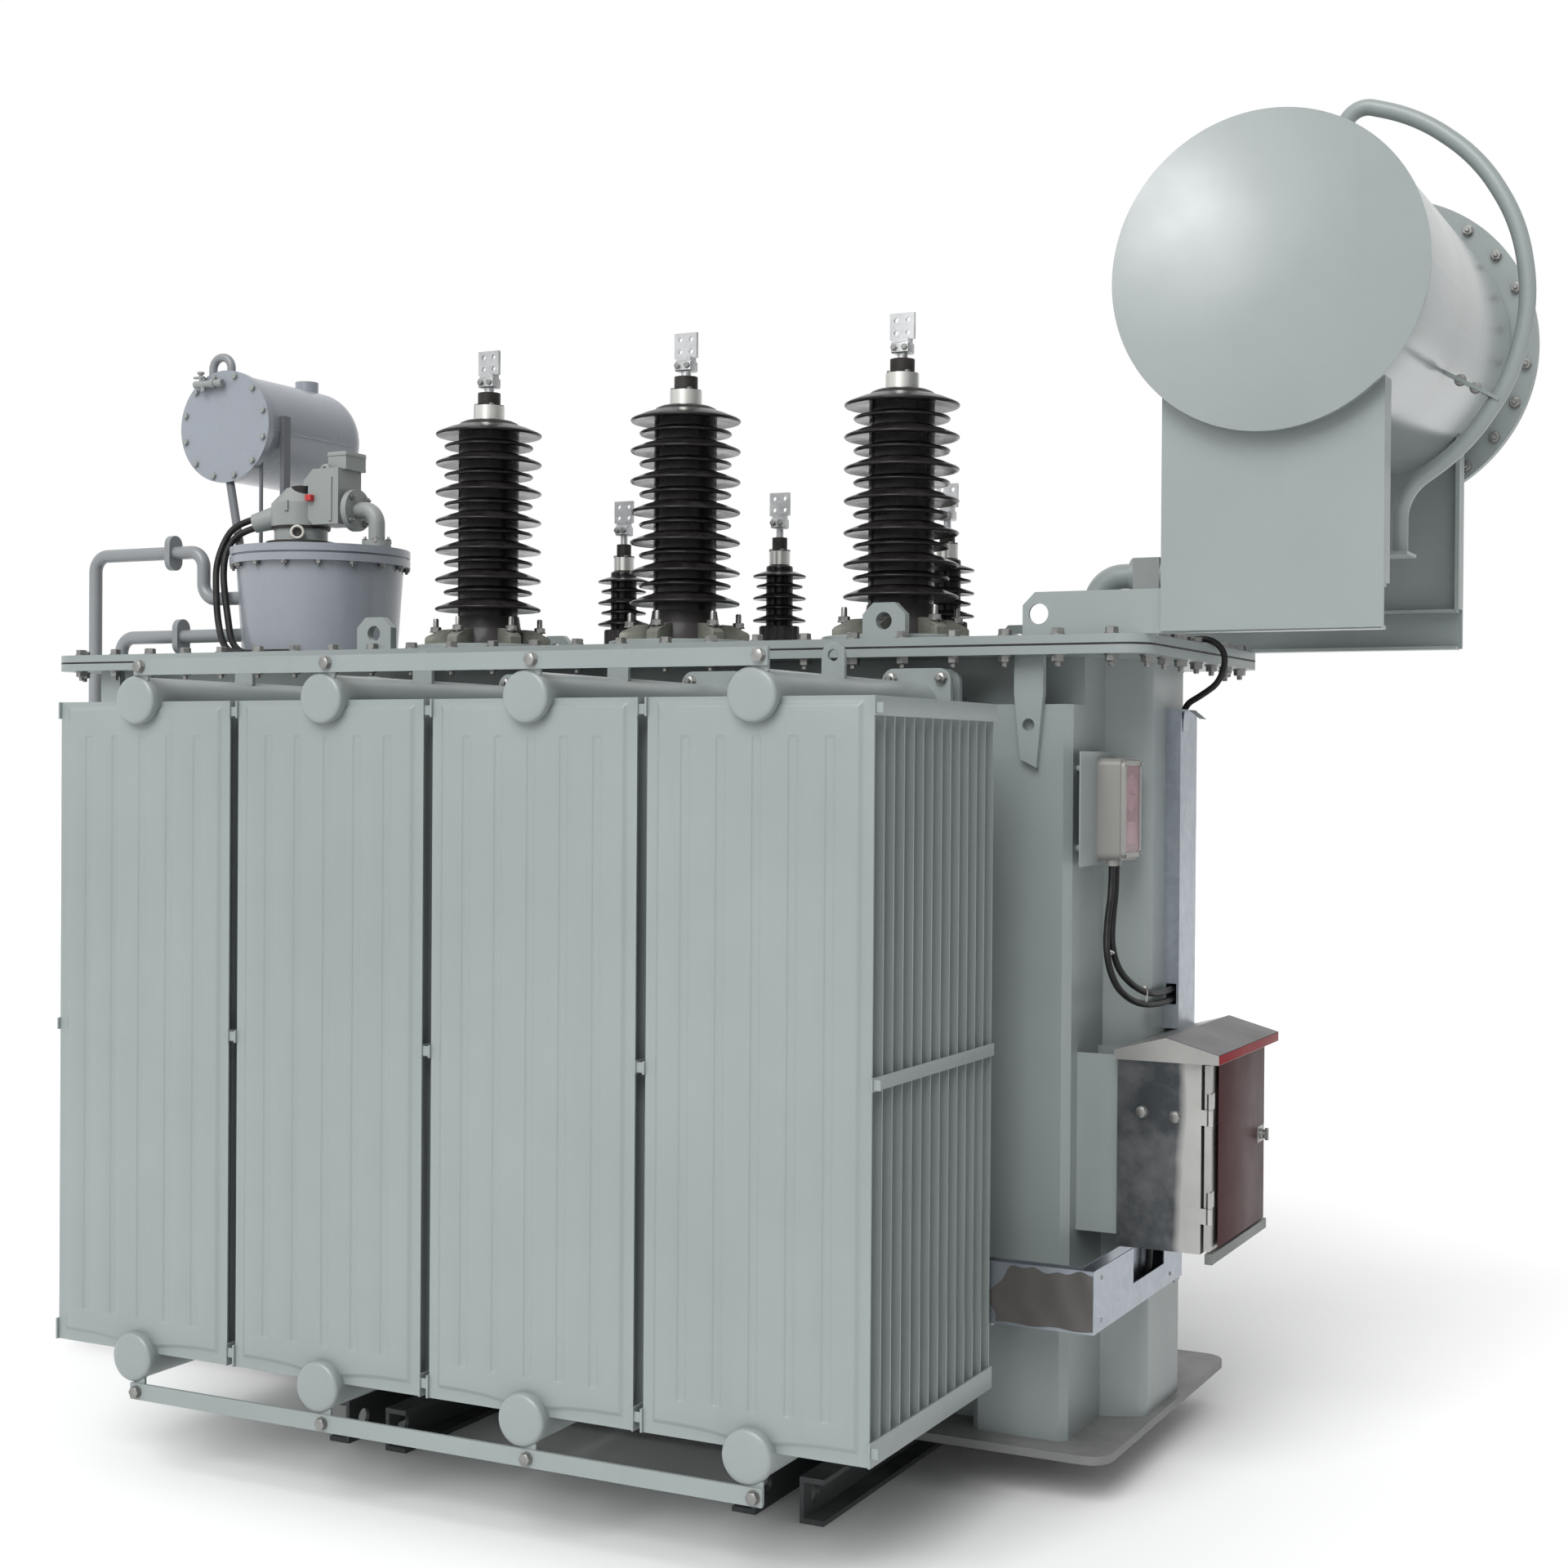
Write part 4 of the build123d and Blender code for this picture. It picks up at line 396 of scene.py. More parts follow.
class Sheets:
    """A small helper that adds shader nodes and links them."""

    def __init__(self, name: str) -> None:
        """Start an empty material with its output and main shader.

        Args:
            name: the material's name.
        """
        self.material = bpy.data.materials.new(name)
        self.material.use_nodes = True
        self.tree = self.material.node_tree
        self.tree.nodes.clear()
        output = self.add("ShaderNodeOutputMaterial")
        self.shader = self.add("ShaderNodeBsdfPrincipled")
        self.link(self.shader.outputs[0], output.inputs[0])
        self.place = self.add("ShaderNodeTexCoord").outputs["Object"]

    def add(self, kind: str, **values: object) -> bpy.types.Node:
        """Add a node and set its plain values.

        Args:
            kind: the node's type.
            values: its sockets and settings by name.

        Returns:
            The new node.
        """
        node = self.tree.nodes.new(kind)
        for key, value in values.items():
            if key in node.inputs.keys():
                node.inputs[key].default_value = value
            else:
                setattr(node, key, value)
        return node

    def link(self, source: Socket, target: Socket) -> None:
        """Join two sockets."""
        self.tree.links.new(source, target)

    def surface(self, name: str, value: object) -> None:
        """Give one of the main shader's sockets a plain value, or link another socket to it.

        Args:
            name: the socket's name.
            value: a number, a colour or a socket.
        """
        if isinstance(value, Socket):
            self.link(value, self.shader.inputs[name])
        else:
            self.shader.inputs[name].default_value = value

    def stretched(self, scale: Point) -> Socket:
        """Object coordinates stretched by a scale for each axis.

        Args:
            scale: a scale for each axis.

        Returns:
            The stretched coordinates.
        """
        node = self.add("ShaderNodeMapping", Scale=scale)
        self.link(self.place, node.inputs["Vector"])
        return node.outputs[0]

    def noise(self, scale: float, detail: float, rough: float = 0.55, place: Socket | None = None) -> Socket:
        """Cloudy noise over the piece.

        Args:
            scale: how fine it is.
            detail: its octaves.
            rough: how strong the fine ones are.
            place: coordinates, or None for the piece's own.

        Returns:
            A value round a half.
        """
        node = self.add("ShaderNodeTexNoise", Scale=scale, Detail=detail, Roughness=rough)
        self.link(place or self.place, node.inputs["Vector"])
        return node.outputs["Fac"]

    def spread(self, value: Socket, low: float, high: float, to_low: float, to_high: float) -> Socket:
        """A value taken from one range to another and held inside it.

        Args:
            value: the value.
            low: the start of its range.
            high: the end of its range.
            to_low: what the start becomes.
            to_high: what the end becomes.

        Returns:
            The new value.
        """
        node = self.add("ShaderNodeMapRange")
        for key, number in (("From Min", low), ("From Max", high), ("To Min", to_low), ("To Max", to_high)):
            node.inputs[key].default_value = number
        self.link(value, node.inputs["Value"])
        return node.outputs["Result"]

    def maths(self, operation: str, first: Socket, second: Socket) -> Socket:
        """Two values put through one operation of the Math node.

        Args:
            operation: the Math node's name for it.
            first: one value.
            second: the other.

        Returns:
            The result.
        """
        node = self.add("ShaderNodeMath", operation=operation)
        self.link(first, node.inputs[0])
        self.link(second, node.inputs[1])
        return node.outputs[0]

    def mix(self, share: Socket, first: object, second: object) -> Socket:
        """Two colours mixed by a share; each is a colour or a socket.

        Args:
            share: 0 for the first, 1 for the second.
            first: one colour.
            second: the other.

        Returns:
            The mixed colour.
        """
        node = self.add("ShaderNodeMix", data_type="RGBA")
        self.link(share, node.inputs["Factor"])
        for value, socket in ((first, node.inputs[6]), (second, node.inputs[7])):
            if isinstance(value, Socket):
                self.link(value, socket)
            else:
                socket.default_value = (*value, 1)
        return node.outputs[2]

    def bump(self, height: Socket, strength: float, distance: float) -> None:
        """Bump the surface, over any bump that is already there.

        Args:
            height: the height to bump by.
            strength: the bump's strength.
            distance: its depth in metres.
        """
        node = self.add("ShaderNodeBump", Strength=strength, Distance=distance)
        self.link(height, node.inputs["Height"])
        if self.shader.inputs["Normal"].links:
            self.link(self.shader.inputs["Normal"].links[0].from_socket, node.inputs["Normal"])
        self.surface("Normal", node.outputs[0])

    def facing_up(self) -> Socket:
        """How far the surface faces upwards, from 0 to 1.

        Returns:
            A value that is 1 where the surface is nearly level.
        """
        split = self.add("ShaderNodeSeparateXYZ")
        self.link(self.add("ShaderNodeNewGeometry").outputs["Normal"], split.inputs[0])
        return self.spread(split.outputs["Z"], 0.35, 0.95, 0, 1)

    def dusty(self, colour: object, cloud: Socket, dust: object) -> Socket:
        """A colour under dust, which lies where the surface faces up, by the share that a cloud gives."""
        return self.mix(self.maths("MULTIPLY", self.facing_up(), cloud), colour, dust)


@dataclass(frozen=True)
class Finish:
    """A finish that pieces share. Its material is made once."""

    name: str
    colour: Colour
    roughness: float = 0.4
    slot: str = ""

    def tone(self, share: float, lift: float = 0.0) -> Colour:
        """The finish's colour scaled by a share and lifted, held under 1."""
        return tuple(min(1, c * share + lift) for c in self.colour)

    def roughen(self, s: Sheets, cloud: Socket, ends: Sequence[float], shares: Sequence[float]) -> None:
        """Let the finish's own roughness follow a cloud, scaled from one share to another."""
        s.surface("Roughness", s.spread(cloud, *ends, *(self.roughness * share for share in shares)))

    def material(self) -> bpy.types.Material:
        """The material, made at the first call."""
        return bpy.data.materials.get(self.name) or self.make()

    def make(self) -> bpy.types.Material:
        """Build the material. Each kind of finish has its own."""
        raise NotImplementedError


@dataclass(frozen=True)
class Paint(Finish):
    """Sprayed enamel: slight clouding, fine orange peel, a little dust on top and faint runs of dirt."""

    dust: float = 0.25
    peel: float = 0.03
    coat: float = 0.15
    shine: float = 0.5

    def make(self) -> bpy.types.Material:
        """Colour clouds, vertical runs, dust by facing, roughness clouds and orange peel.

        Returns:
            The new material.
        """
        s = Sheets(self.name)
        clouds = s.spread(s.noise(1.7, 5, 0.6), 0.3, 0.7, 0, 1)
        colour = s.mix(clouds, self.tone(0.94), self.tone(1.04, 0.002))
        runs = s.noise(9, 4, 0.6, s.stretched((1, 1, 0.12)))
        colour = s.mix(s.spread(runs, 0.56, 0.8, 0, 0.25), colour, self.tone(0.8))
        dust = s.mix(s.noise(40, 2), (0.36, 0.35, 0.32), (0.5, 0.49, 0.45))
        s.surface("Base Color", s.dusty(colour, s.spread(s.noise(6, 6, 0.7), 0.35, 0.75, 0, self.dust), dust))
        self.roughen(s, s.noise(3.5, 4), (0.3, 0.7), (0.82, 1.25))
        s.surface("Specular IOR Level", self.shine)
        s.surface("Coat Weight", self.coat)
        s.surface("Coat Roughness", 0.25)
        s.bump(s.noise(420, 2), self.peel, 0.001)
        s.bump(s.noise(5, 2), 0.12, 0.002)
        return s.material


@dataclass(frozen=True)
class Zinc(Finish):
    """Galvanised sheet: flakes of zinc at slightly different greys and shines."""

    flakes: float = 55.0
    bloom: Colour = (0.62, 0.64, 0.66)

    def make(self) -> bpy.types.Material:
        """Voronoi flakes in colour and roughness, with clouds of white bloom.

        Returns:
            The new material.
        """
        s = Sheets(self.name)
        cells = s.add("ShaderNodeTexVoronoi", Scale=self.flakes)
        s.link(s.place, cells.inputs["Vector"])
        split = s.add("ShaderNodeSeparateColor")
        s.link(cells.outputs["Color"], split.inputs[0])
        colour = s.mix(split.outputs[0], self.tone(0.94), self.tone(1.06))
        s.surface("Base Color", s.mix(s.spread(s.noise(7, 5), 0.5, 0.8, 0, 0.2), colour, self.bloom))
        self.roughen(s, split.outputs[1], (0, 1), (0.92, 1.1))
        s.surface("Metallic", 0.85)
        s.bump(split.outputs[2], 0.03, 0.0005)
        return s.material


@dataclass(frozen=True)
class Stainless(Finish):
    """Rolled stainless sheet, smudged by hands; left of an edge line it is painted darker, a painted
    reflection of dark surroundings.
    """

    # Where the painted reflection's edge lies along X; None for none.
    reflection_edge: float | None = None
    waver: float = 0.014
    blur: float = 0.010
    # How much darker the painted reflection is than the steel, channel by channel.
    reflection_shade: Colour = (0.13, 0.145, 0.165)

    def make(self) -> bpy.types.Material:
        """Long fine grain, cloudy smudges in colour and roughness, slight buckling, and where an edge is
        given a painted reflection: the steel left of a wavy line along X is painted darker and blotchy.

        Returns:
            The new material.
        """
        s = Sheets(self.name)
        smudge = s.noise(3.2, 5, 0.55)
        colour = s.mix(s.spread(smudge, 0.36, 0.68, 0, 0.6), self.colour, self.tone(0.72))
        # Painted reflection: left of the wavy edge the steel is painted darker, with blotches, standing for
        # dark surroundings reflected in it.
        if self.reflection_edge is not None:
            dark_reflection = tuple(c * share for c, share in zip(self.colour, self.reflection_shade))
            painted_reflection = s.mix(s.spread(s.noise(6, 6, 0.58), 0.4, 0.74, 0, 0.42), dark_reflection, self.colour)
            split = s.add("ShaderNodeSeparateXYZ")
            s.link(s.place, split.inputs[0])
            drift = s.spread(s.noise(3, 3), 0.3, 0.7, -self.waver, self.waver)
            edge = s.maths("ADD", split.outputs["X"], drift)
            bright_share = s.spread(edge, self.reflection_edge - self.blur, self.reflection_edge + self.blur, 0, 1)
            colour = s.mix(bright_share, painted_reflection, colour)
        s.surface("Base Color", colour)
        self.roughen(s, smudge, (0.35, 0.7), (1, 1.9))
        s.surface("Metallic", 0.95)
        s.bump(s.noise(260, 2, 0.5, s.stretched((1, 1, 0.02))), 0.05, 0.0005)
        s.bump(s.noise(4, 1), 0.35, 0.004)
        return s.material


@dataclass(frozen=True)
class Glaze(Finish):
    """Dark brown porcelain glaze, wet-looking, with a fine haze of dust on the upper side of the sheds."""

    dust: float = 0.08

    def make(self) -> bpy.types.Material:
        """Clouded brown-black body under a clear coat, dust where it faces up.

        Returns:
            The new material.
        """
        s = Sheets(self.name)
        body = s.mix(s.noise(14, 4), self.colour, self.tone(1.3, 0.002))
        cloud = s.spread(s.noise(25, 5), 0.4, 0.8, 0, self.dust)
        s.surface("Base Color", s.dusty(body, cloud, (0.35, 0.33, 0.3)))
        self.roughen(s, s.noise(9, 3), (0.3, 0.7), (0.7, 1.5))
        s.surface("Specular IOR Level", 0.22)
        s.surface("Coat Weight", 0.06)
        s.surface("Coat Roughness", 0.12)
        s.bump(s.noise(30, 2), 0.04, 0.001)
        return s.material


@dataclass(frozen=True)
class Metal(Finish):
    """Bare or plated metal: cast alloy, tinned copper, zinc-plated fasteners."""

    grain: float = 180.0
    relief: float = 0.1
    metal: float = 0.9

    def make(self) -> bpy.types.Material:
        """Clouds of tarnish and a grain of the casting or plating.

        Returns:
            The new material.
        """
        s = Sheets(self.name)
        tarnish = s.spread(s.noise(18, 6, 0.65), 0.35, 0.7, 0, 1)
        s.surface("Base Color", s.mix(tarnish, self.colour, self.tone(0.62)))
        self.roughen(s, tarnish, (0, 1), (1, 1.5))
        s.surface("Metallic", self.metal)
        s.bump(s.noise(self.grain, 3), self.relief, 0.0008)
        return s.material


@dataclass(frozen=True)
class Rubber(Finish):
    """Black sheath or seal with a faint bloom."""

    def make(self) -> bpy.types.Material:
        """Cloudy black, matte and slightly pebbled.

        Returns:
            The new material.
        """
        s = Sheets(self.name)
        bloom = s.spread(s.noise(22, 4), 0.4, 0.75, 0, 1)
        s.surface("Base Color", s.mix(bloom, self.colour, self.tone(2.2, 0.006)))
        self.roughen(s, s.noise(12, 3), (0.3, 0.7), (0.8, 1.2))
        s.surface("Specular IOR Level", 0.25)
        s.bump(s.noise(500, 2), 0.05, 0.0005)
        return s.material


@dataclass(frozen=True)
class Clear(Finish):
    """A tinted clear cover, a little scuffed."""

    def make(self) -> bpy.types.Material:
        """Thin tinted glass with scuffs in its roughness.

        Returns:
            The new material.
        """
        s = Sheets(self.name)
        s.surface("Base Color", s.mix(s.noise(30, 3), self.colour, self.tone(0.9)))
        self.roughen(s, s.noise(40, 5), (0.45, 0.8), (1, 3))
        s.surface("Transmission Weight", 0.6)
        s.surface("Alpha", 0.85)
        return s.material


TANK = Paint("tank_enamel", (0.225, 0.258, 0.256), 0.36, "tank_paint")
GLOSS = Paint("drum_enamel", (0.218, 0.25, 0.248), 0.17, "tank_paint", dust=0.1, peel=0.01, coat=0.5)
TAP = Paint("tap_changer_enamel", (0.235, 0.256, 0.29), 0.26, "tap_paint", dust=0.1, coat=0.3)
CAST = Paint("cast_housing_enamel", (0.225, 0.243, 0.238), 0.42, "cast_paint", peel=0.12)
SKID = Paint("skid_enamel", (0.05, 0.056, 0.058), 0.45, "skid_paint")
BASE = Paint("base_plate_enamel", (0.15, 0.152, 0.152), 0.55, "base_paint", dust=0.35)
PORCELAIN = Glaze("brown_glaze", (0.0095, 0.008, 0.0085), 0.24, "porcelain")
FOOT = Glaze("unglazed_foot", (0.03, 0.027, 0.027), 0.45, "porcelain", dust=0.2)
GALVANISED = Zinc("galvanised_sheet", (0.34, 0.375, 0.42), 0.34, "galvanised")
STEEL = Stainless("stainless_sheet", (0.46, 0.455, 0.44), 0.24, "stainless")
# The cabinet shell carries a painted reflection: painted darker left of X = 1.422.
SHELL = Stainless("smudged_steel_painted_reflection", (0.52, 0.515, 0.5), 0.3, "stainless", reflection_edge=1.422)
MAROON = Paint("maroon_door_enamel", (0.05, 0.014, 0.016), 0.4, "door_red",
               dust=0.02, peel=0.01, coat=0.0, shine=0.06)
ROOF = Paint("dark_roof_enamel", (0.045, 0.038, 0.042), 0.3, "door_red",
             dust=0.05, peel=0.01, coat=0.0, shine=0.25)
SILL = Paint("sill_enamel", (0.11, 0.12, 0.117), 0.5, "stainless")
RED_EDGE = Paint("red_edge_enamel", (0.2, 0.006, 0.012), 0.4, "door_red",
                 dust=0.0, peel=0.01, coat=0.0, shine=0.08)
ALLOY = Metal("cast_alloy", (0.5, 0.49, 0.46), 0.42, "cast_alloy", grain=90, relief=0.25, metal=0.6)
CLAMP = Metal("weathered_clamp", (0.2, 0.205, 0.175), 0.5, "cast_alloy", grain=90, relief=0.25, metal=0.4)
TINNED = Metal("tinned_copper", (0.62, 0.63, 0.64), 0.3, "tinned")
NITRILE = Rubber("nitrile_seal", (0.012, 0.011, 0.01), 0.5, "gasket")
SHEATH = Rubber("black_sheath", (0.007, 0.007, 0.0075), 0.5, "cable")
CREAM = Paint("cream_case", (0.22, 0.218, 0.205), 0.36, "cream", dust=0.1)
STAY = Paint("stay_enamel", (0.1, 0.108, 0.12), 0.4, "tap_paint")
PIPE = Paint("pipe_enamel", (0.2, 0.214, 0.225), 0.35, "tap_paint", dust=0.1)
IVORY = Paint("ivory_plastic", (0.5, 0.48, 0.44), 0.35, "cream", dust=0.05, peel=0.01)
SIGNAL_RED = Paint("signal_red", (0.42, 0.02, 0.02), 0.3, "door_red", dust=0.05, peel=0.01)
FILM = Paint("torn_film", (0.068, 0.064, 0.06), 0.3, "galvanised", dust=0.05, peel=0.01)
PINK = Clear("pink_cover", (0.5, 0.2, 0.27), 0.08, "window")
PLATED = Metal("zinc_plate", (0.32, 0.32, 0.31), 0.34, "zinc", grain=300, relief=0.05)

# The CAD nodes that have each finish; what isn't listed is tank enamel, or sheath on a cable.
NODES_OF: dict[Finish, str] = {
    SKID: "skids", BASE: "base_plate", PORCELAIN: "hv_porcelains lv_porcelains", GLOSS: "conservator_drum",
    GALVANISED: "upright_tray low_tray", SHELL: "cabinet_shell", STEEL: "cabinet_roof cabinet_door",
    PLATED: "cabinet_lock", CLAMP: "hv_bases lv_bases", ALLOY: "bushing_caps", TINNED: "bushing_terminals",
    NITRILE: "cover_gasket bushing_seals", CREAM: "thermometer_case", PINK: "thermometer_window",
    TAP: "tap_changer_drum tap_changer_lid small_conservator small_conservator_end",
    STAY: "small_conservator_stays", PIPE: "vent_loop oil_pipes oil_pipe_bracket",
    CAST: "tap_changer_head tap_changer_gearbox tap_changer_elbow gas_relay",
}


def dress_cad_nodes() -> None:
    """Give every CAD node its finish."""
    listed = {name: finish for finish, names in NODES_OF.items() for name in names.split()}
    for name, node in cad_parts.items():
        finish = listed.get(name, SHEATH if name.startswith("cable") else TANK)
        node.data.materials.clear()
        node.data.materials.append(finish.material())


def make_piece(name: str, shape: Shape, finish: Finish, body: str = "root", crease: float = 35.0,
               stands_for: Sequence[str] = ()) -> bpy.types.Object:
    """Turn a shape into a mesh piece that rides on a body.

    Args:
        name: the piece's name.
        shape: its surface, in the row frame.
        finish: its finish.
        body: the CAD body it moves with.
        crease: the angle in degrees past which an edge stays sharp.
        stands_for: CAD nodes that it replaces.

    Returns:
        The new object.
    """
    mesh = bpy.data.meshes.new(name)
    mesh.vertices.add(len(shape.points))
    mesh.vertices.foreach_set("co", shape.points.astype(np.float32).ravel())
    mesh.loops.add(shape.quads.size)
    mesh.loops.foreach_set("vertex_index", shape.quads.astype(np.int32).ravel())
    mesh.polygons.add(len(shape.quads))
    mesh.polygons.foreach_set("loop_start", np.arange(0, shape.quads.size, 4, dtype=np.int32))
    mesh.update(calc_edges=True)
    work = bmesh.new()
    work.from_mesh(mesh)
    bmesh.ops.remove_doubles(work, verts=work.verts, dist=1e-6)
    bmesh.ops.dissolve_degenerate(work, edges=work.edges, dist=1e-7)
    bmesh.ops.recalc_face_normals(work, faces=work.faces)
    work.to_mesh(mesh)
    work.free()
    mesh.polygons.foreach_set("use_smooth", np.ones(len(mesh.polygons), bool))
    mesh.set_sharp_from_angle(angle=math.radians(crease))
    mesh.materials.append(finish.material())
    piece = bpy.data.objects.new(name, mesh)
    bpy.context.scene.collection.objects.link(piece)
    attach(piece, body)
    if stands_for:
        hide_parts(*stands_for)
    LOG.info("%s: %d faces", name, len(mesh.polygons))
    return piece


# Sub-assemblies


@dataclass
class Radiators:
    """Both banks of pressed-panel radiators."""

    banks: tuple[tuple[str, int], ...] = (("front", 4), ("back", 3))
    panels: int = 14
    pitch: float = 49.7 * MM
    width: float = 0.520
    bottom: float = 0.300
    top: float = 1.840
    front: float = 1.335
    body: float = 18 * MM
    seam: float = 4 * MM
    seam_width: float = 28 * MM
    side_border: float = 0.030
    hub_dip: float = 0.018
    hub_reach: float = 0.085
    top_border: float = 0.016
    flank: float = 0.014
    grooves: tuple[int, ...] = (-2, -1, 0, 1, 2)
    groove_pitch: float = 83 * MM
    groove_width: float = 21 * MM
    groove_depth: float = 2.2 * MM
    groove_wall: float = 0.003
    groove_low: float = 0.085
    groove_high: float = 0.087
    ripple: float = 0.0004
    header_radius: float = 54 * MM
    cap_radius: float = 57 * MM
    header_above: float = 0.003
    header_below: float = 0.007
    strip: float = 0.004
    flange_face: float = -0.516
    flange_levels: tuple[float, ...] = (1.843, 0.293)
    flange_corners: tuple[float, ...] = (-0.064, 0.064)
    tie_levels: tuple[float, ...] = (1.921, 0.216)

    def border(self, x: Array) -> Array:
        """Height of the oil space's lower border: 30 mm up at the sides, running down to 12 mm at the hub."""
        return self.bottom + self.side_border - self.hub_dip * np.exp(-((np.abs(x) / self.hub_reach) ** 1.6))

    def relief(self, x: Array, z: Array, grooves: bool) -> Array:
        """Depth of the pressed sheet behind its highest plane.

        The seam lies back all round, the flank rises over its width, and each groove is a shallow channel
        with a round end, worked out from the distance to the segment that is its middle line.

        Args:
            x: places across the panel, from its middle.
            z: heights.
            grooves: whether the grooves are pressed in too.

        Returns:
            How far each point lies back, in metres.
        """
        side = self.width / 2 - self.seam_width - np.abs(x)
        inside = np.minimum(np.minimum(side, z - self.border(x)), self.top - self.top_border - z)
        rise = eased(inside / self.flank + 0.5)
        depth = (1 - rise) * (self.body - self.seam) / 2
        if grooves:
            low, high = self.bottom + self.groove_low, self.top - self.groove_high
            for k in self.grooves:
                reach = np.hypot(x - k * self.groove_pitch, np.clip(z, low, high) - z)
                wall = eased((self.groove_width / 2 + 0.001 - reach) / self.groove_wall)
                depth = depth + self.groove_depth * wall * rise
        return depth

    def columns(self, fine: bool) -> Array:
        """Places across the panel, close together where the sheet bends.

        Args:
            fine: whether the grooves need columns too.

        Returns:
            Places in metres from the panel's middle.
        """
        half, edge = self.width / 2, self.width / 2 - self.seam_width
        places = [np.array([-half, half]), -edge + BENDS, edge + BENDS, np.linspace(-edge, edge, 5)]
        if fine:
            wall = np.array([-1.5, -0.5, 0.5, 1.5]) * MM
            for k in self.grooves:
                for side in (-1, 1):
                    places.append(k * self.groove_pitch + side * (self.groove_width / 2 - 0.0005) + wall)
            places.append(np.linspace(-0.075, 0.075, 13))
        return np.unique(np.round(np.concatenate(places), 6))

    def rows(self, x: Array, fine: bool) -> Array:
        """Heights for each column: the lower rows follow the sloping border, the upper ones are level.

        Args:
            x: the columns' places.
            fine: whether the grooves need rows too.

        Returns:
            (rows, columns) heights.
        """
        low = self.border(x)[None] + BENDS[:, None]
        level = [self.top - self.top_border + BENDS, np.array([self.top])]
        if fine:
            ends = np.arange(-14, 3.1, 2.0) * MM
            level += [self.bottom + self.groove_low + ends, self.top - self.groove_high - ends]
        level.append(np.linspace(self.bottom + 0.1, self.top - 0.1, 24 if fine else 3))
        heights = np.unique(np.round(np.concatenate(level), 6))
        flat = np.repeat(heights[:, None], len(x), 1)
        return np.concatenate([np.full((1, len(x)), self.bottom), low, flat])

    def panel(self, y: float, fine: bool) -> Shape:
        """One panel: two pressed sheets back to back, closed round the seam, the front one slightly wavy.

        Args:
            y: the middle of its thickness.
            fine: whether its grooves are pressed in.

        Returns:
            The closed panel.
        """
        x = self.columns(fine)
        z = self.rows(x, fine)
        xs = np.broadcast_to(x, z.shape)
        half = self.body / 2 - self.relief(xs, z, fine)
        wave = self.ripple * np.sin(7 * xs / self.width + 3 * z) * np.sin(4.1 * z + 5 * y) if fine else 0
        front = np.stack([xs, y - half + wave * (half > self.seam), z], -1)
        return sheet(front, np.stack([xs, y + half, z], -1))

    def header(self, z: float) -> Shape:
        """A header tube with its flat round cap: the cap's face is slightly domed and its rim eased.

        Args:
            z: the height of its axis.

        Returns:
            The closed tube.
        """
        r, c, nose, back = self.header_radius, self.cap_radius, 0.030, -0.819
        profile = [(0, nose), (0.03, nose - 0.0004), (c - 0.010, nose - 0.0014), (c - 0.004, nose - 0.003),
                   (c - 0.001, nose - 0.006), (c, nose - 0.010), (c, nose - 0.022),
                   (c - 0.0015, nose - 0.024), (r, nose - 0.026), (r, back), (0, back)]
        return lathe(profile, (0, -self.front, z), Axis.TOWARDS_FRONT, 64)

    def eye(self) -> Shape:
        """The lifting eye on the upper header: a round-topped plate with a hole.

        Returns:
            The closed plate.
        """
        angle = np.linspace(0, math.pi, 17)
        foot, rise, r, hole = self.top + self.header_above + 0.047, 0.050, 0.028, 0.013
        arc = np.stack([r * np.cos(angle), foot + rise + r * np.sin(angle)], -1)
        left = np.stack([np.full(5, -r), np.linspace(foot + rise, foot, 7)[1:-1]], -1)
        base = np.stack([np.linspace(-r, r, 7), np.full(7, foot)], -1)
        right = np.stack([np.full(5, r), np.linspace(foot, foot + rise, 7)[1:-1]], -1)
        outer = np.concatenate([arc, left, base, right])
        centre = np.array([0, foot + rise])
        turn = np.arctan2(outer[:, 1] - centre[1], outer[:, 0])
        inner = centre + hole * np.stack([np.cos(turn), np.sin(turn)], -1)
        return holed_plate(outer, inner, 0.012).moved((0, -self.front + 0.360, 0))

    def strips(self) -> list[Shape]:
        """Flat bars along both sides that tie the panels' edges together, and the little links in front.

        Returns:
            One closed bar for each.
        """
        half, back = self.width / 2, -self.front + (self.panels - 1) * self.pitch + self.body
        levels = ((self.top - 0.040, self.top), (self.bottom, self.bottom + 0.050), (1.050, 1.078))
        made = [bar((x - 0.0005, -self.front, low), (x + 0.0045, back, high), 0.0008, Axis.Y)
                for low, high in levels for x in (-half - self.strip, half)]
        near, far = -self.front + 0.004, -self.front + 0.010
        for z in (1.064, 0.330, 1.815):
            made.append(bar((half + 0.0035, near, z - 0.011), (half + 0.0205, far, z + 0.011)))
        return made

    def tabs(self) -> list[Shape]:
        """The tabs on the caps that the tie bars are bolted to.

        Returns:
            One closed bar for each.
        """
        y = -self.front - 0.030 + 0.0083
        levels = ((1.888, 1.939), (0.197, 0.248))
        return [bar((0.003, y, low), (0.037, y + 0.008, high)) for low, high in levels]

    def build(self) -> None:
        """Make one radiator and place it in both banks, each in place of its CAD node."""
        first = -self.front + self.body / 2
        parts = [self.panel(first + k * self.pitch, k == 0) for k in range(self.panels)]
        parts += [self.header(self.top + self.header_above), self.header(self.bottom - self.header_below)]
        one = joined([*parts, self.eye(), *self.strips(), *self.tabs()])
        for side, count in self.banks:
            for number in range(1, count + 1):
                node = f"radiator_{side}_{number}"
                shape = one.moved((middle_x(node), 0, 0))
                if side == "back":
                    shape = shape.mirrored_y()
                make_piece(f"{node}_pressed", shape, TANK, stands_for=[node])
        self.bolts()

